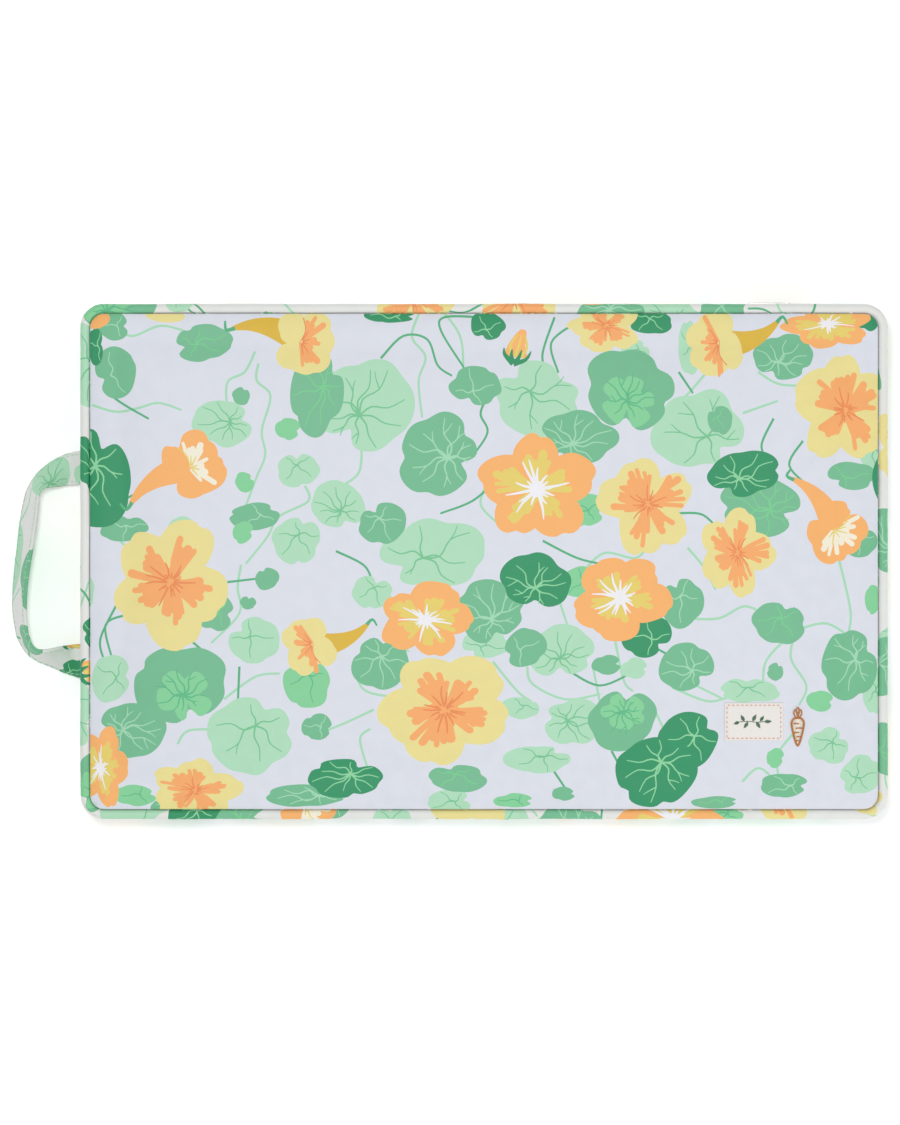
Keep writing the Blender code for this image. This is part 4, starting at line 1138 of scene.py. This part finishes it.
# Rings from under the label, round its edge and in over its face: inset and height in mm.
label_edge = [(3, -0.02), (0.3, -0.02), (0.0, 0.12), (0.02, 0.3)]
label_face = [(inset, None) for inset in (0.1, 0.3, 0.6, 1.0, 1.4, 1.8, 2.3, 3.1, 3.8, 5.5, 8, 10.4)]
steps = np.arange(160) / 160 * 4
rings = []
for inset, level in label_edge + label_face:
    u = np.interp(steps, range(5), (-1, 1, 1, -1, -1)) * (LABEL_LONG / 2 - inset * MM)
    v = np.interp(steps, range(5), (-1, -1, 1, 1, -1)) * (LABEL_WIDE / 2 - inset * MM)
    rise = label_rise(u, v) if level is None else np.full(160, level * MM)
    rings.append(over_panel(label_middle.x + u, label_middle.y + v, rise))
label = loft("label_cloth", rings)

# Damask-woven polyester: cream, satin, with a fine rib across it. The real rib is 0.45 mm; it is drawn at
# 0.7 mm, so that it shows.
label_satin = new_material("woven label satin")
place = add_node(label_satin, "ShaderNodeTexCoord").outputs["Object"]
rib, warp = (
    add_node(label_satin, "ShaderNodeTexWave", {"bands_direction": way}, {
        "Vector": place, "Scale": BAND / pitch, "Distortion": 0.6})
    for way, pitch in (("Y", 0.0007), ("X", 0.0008)))
both = add_node(label_satin, "ShaderNodeMath", {"operation": "MULTIPLY"}, {
    0: rib.outputs["Fac"], 1: warp.outputs["Fac"]})
tint = add_node(label_satin, "ShaderNodeMix", {"data_type": "RGBA"}, {
    0: both.outputs[0], 6: to_linear("#e6e1db"), 7: to_linear("#f3efeb")})
ribs = add_node(label_satin, "ShaderNodeBump", links={
    "Strength": 0.35, "Distance": 0.1 * MM, "Height": both.outputs[0]})
finish_material(label_satin, tint.outputs[2], {
    "Roughness": 0.6, "Sheen Weight": 0.15, "Sheen Roughness": 0.4, "Normal": ribs.outputs[0]})
label.data.materials.append(label_satin)
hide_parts("woven_label")
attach(label, "pad")

salmon = thread("salmon polyester thread", "#dd8a74", "#eba896", 0.0006)
STITCH_INSET = 1.4 * MM
inner_x, inner_y = LABEL_LONG / 2 - STITCH_INSET, LABEL_WIDE / 2 - STITCH_INSET
ends = []
for lengthways, half_run in ((True, inner_x), (False, inner_y)):
    count = int(2 * half_run / (2.5 * MM))
    pitch = 2 * half_run / count
    for side in (-1, 1):
        for k in range(count):
            pair = []
            for run in (k * pitch + 0.3 * MM - half_run, k * pitch + 1.9 * MM - half_run):
                u, v = (run, side * inner_y) if lengthways else (side * inner_x, run)
                rise = float(label_rise(u, v)) + 0.08 * MM
                pair.append(over_panel(label_middle.x + u, label_middle.y + v, rise))
            ends.append(pair)
faces = [(0, 0, 1)] * len(ends)
stitching = bars("label_running_stitch", ends, faces, 0.5 * MM, 0.36 * MM, salmon)
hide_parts("label_stitching")

dark_thread = thread("dark green polyester thread", "#2f5a3c", "#4a7a55", 0.0005)
ends = []


def satin_leaf(x, y, length, width, turn, rows):
    """A small leaf of close parallel stitches."""
    c, s = math.cos(math.radians(turn)), math.sin(math.radians(turn))
    for k in range(rows):
        t = (k + 0.5) / rows
        half_width = width / 2 * math.sin(math.pi * t ** 0.8) * MM
        along = t * length * MM
        pair = []
        for way in (-1, 1):
            u, v = x * MM + along * c - way * half_width * s, y * MM + along * s + way * half_width * c
            pair.append(over_panel(label_middle.x + u, label_middle.y + v, 0.75 * MM))
        ends.append(pair)


for x, y, length, width, turn in (
    (-5.6, 0.3, 4.2, 2.2, 118), (-3.4, -0.2, 4.4, 2.3, 236), (-0.8, 0.3, 4.6, 2.4, 62),
    (1.4, -0.1, 4.4, 2.3, -58), (3.6, 0.3, 3.8, 2.0, 55), (6.0, 0.1, 4.4, 2.3, 2), (-8.4, -0.1, 3.6, 2.0, 200),
):
    satin_leaf(x, y, length, width, turn, 9)
for k in range(8):
    y = label_middle.y + 0.25 * math.sin(k * 0.9) * MM
    ends.append([over_panel(label_middle.x + (-8.2 + 1.8 * k + d) * MM, y, 0.78 * MM) for d in (0, 1.75)])
faces = [(0, 0, 1)] * len(ends)
bars("label_sprig", ends, faces, 0.5 * MM, 0.3 * MM, dark_thread)

# ---- Carrot -----------------------------------------------------------------------------
# A small carrot beside the label, worked straight through the top panel in orange-gold rayon: a corded
# outline, short bars across the root and a ring of loops for the leaves.
gold = thread("orange-gold rayon thread", "#b4660f", "#d98a26", 0.0007)
CARROT_X, CARROT_Y = 182.0, -99.0
right_side = [(0.0, -8.2), (1.0, -6.4), (2.2, -2.6), (3.3, 2.2), (3.6, 5.4), (2.5, 7.6), (0.0, 8.2)]
outline = right_side + [(-x, y) for x, y in reversed(right_side[:-1])]


def on_carrot(shape, rise):
    """Places that many mm above the panel, from places in mm round the carrot's middle."""
    shape = np.array(shape)
    return over_panel((CARROT_X + shape[:, 0]) * MM, (CARROT_Y + shape[:, 1]) * MM, rise * MM)


def corded(shape, width):
    """Close slanting stitches that wrap a line, like a fine rope laid on the cloth."""
    line = curve_through(shape, 10)
    lengths = np.concatenate([[0], np.cumsum(np.hypot(*np.diff(line, axis=0).T))])
    ends = []
    for run in np.arange(0.2, lengths[-1], 0.42):
        earlier, spot, later = (
            np.array([np.interp(run + d, lengths, line[:, k]) for k in (0, 1)]) for d in (-0.3, 0, 0.3))
        ahead = (later - earlier) / max(np.hypot(*(later - earlier)), 1e-9)
        slant = crosswise(ahead) * width / 2 + ahead * 0.2
        ends.append(on_carrot([spot - slant, spot + slant], 0.34))
    return ends


cream_thread = thread("cream rayon thread", "#e9e2d2", "#f6f1e6", 0.0007)
ends = []
root = curve_through(outline, 8)
to_tip = 6 * 8 + 1             # points up the root's right side
for y in np.arange(-6.9, 7.7, 0.42):
    reach = np.interp(y, root[:to_tip, 1], root[:to_tip, 0]) - 0.55
    ends.append(on_carrot([(-reach, y), (reach, y)], 0.06))
bars("carrot_filling", ends, [(0, 0, 1)] * len(ends), 0.5 * MM, 0.3 * MM, cream_thread,
     steps=(0.0, 0.1, 0.5, 0.9, 1.0))
ends = corded(outline, 1.15)
for y, left, right in (
    (4.8, -2.6, 0.9), (2.2, -1.2, 2.4), (-0.4, -2.2, 0.7), (-2.8, -0.9, 1.6), (-5.0, -1.1, 0.5)
):
    ends += corded([(left, y), ((left + right) / 2, y + 0.15), (right, y)], 0.8)
for carrot_leaf in (
    [(-1.0, 8.4), (-2.3, 10.6), (-1.6, 13.0), (-0.4, 11.4), (-0.2, 8.8)],
    [(0.2, 8.8), (-0.9, 12.2), (0.0, 14.4), (0.9, 12.2), (-0.1, 8.8)],
    [(0.2, 8.8), (0.5, 11.4), (1.7, 13.0), (2.3, 10.6), (1.0, 8.4)],
):
    ends += corded(carrot_leaf, 0.8)
carrot = bars("carrot_threads", ends, [(0, 0, 1)] * len(ends), 0.46 * MM, 0.42 * MM, gold,
              steps=(0.0, 0.25, 0.75, 1.0), bow=1.6)
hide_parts("carrot_embroidery")

# ---- Floor, light and camera ------------------------------------------------------------
# A studio light table of opal acrylic, lit faintly from beneath, in a white room. One soft light hangs
# almost straight above, a larger one stands low at the near right, and the camera looks straight down.
table = new_material("opal acrylic")
place = add_node(table, "ShaderNodeTexCoord").outputs["Object"]
mottle = add_node(table, "ShaderNodeTexNoise", links={"Vector": place, "Scale": 8.0})
tint = add_node(table, "ShaderNodeMix", {"data_type": "RGBA"}, {
    0: mottle.outputs["Fac"], 6: to_linear("#fbfbfb"), 7: to_linear("#ffffff")})
finish_material(table, tint.outputs[2], {
    "Roughness": 0.9, "Specular IOR Level": 0.1,
    "Emission Color": (1.0, 1.0, 1.0, 1.0), "Emission Strength": 0.2})
floor_mesh = bpy.data.meshes.new("floor")
floor_mesh.from_pydata([(-3, -3, 0), (3, -3, 0), (3, 3, 0), (-3, 3, 0)], [], [(0, 1, 2, 3)])
floor_mesh.materials.append(table)
floor = bpy.data.objects.new("floor", floor_mesh)
scene.collection.objects.link(floor)

room = bpy.data.worlds.new("white room")
scene.world = room
room.use_nodes = True
room.node_tree.nodes["Background"].inputs["Color"].default_value = (0.98, 0.99, 1.0, 1.0)
room.node_tree.nodes["Background"].inputs["Strength"].default_value = 0.54


def soft_light(name, place, aim, width, watts):
    """A round softbox that points at a place."""
    lamp = bpy.data.lights.new(name, "AREA")
    lamp.shape, lamp.size, lamp.energy = "DISK", width, watts
    made = bpy.data.objects.new(name, lamp)
    made.location = place
    made.rotation_euler = (Vector(aim) - Vector(place)).to_track_quat("-Z", "Y").to_euler()
    scene.collection.objects.link(made)


soft_light("overhead softbox", (-0.18, 0.26, 2.2), (0, 0, 0), 0.4, 17.5)
soft_light("side softbox", (1.0, -1.1, 0.85), (0, 0, 0), 1.2, 6.5)
eye = bpy.data.cameras.new("camera")
SENSOR_WIDTH, CAMERA_HEIGHT = 36, 2.4
SEEN_WIDTH, SEEN_AT = 0.5235, 0.038         # what the view takes in, and at what height
eye.sensor_fit, eye.sensor_width, eye.sensor_height = "HORIZONTAL", SENSOR_WIDTH, 45
eye.lens = SENSOR_WIDTH * (CAMERA_HEIGHT - SEEN_AT) / SEEN_WIDTH
camera = bpy.data.objects.new("camera", eye)
camera.location = (-0.0198, -0.0006, CAMERA_HEIGHT)
scene.collection.objects.link(camera)
scene.camera = camera
scene.view_settings.view_transform = "Standard"
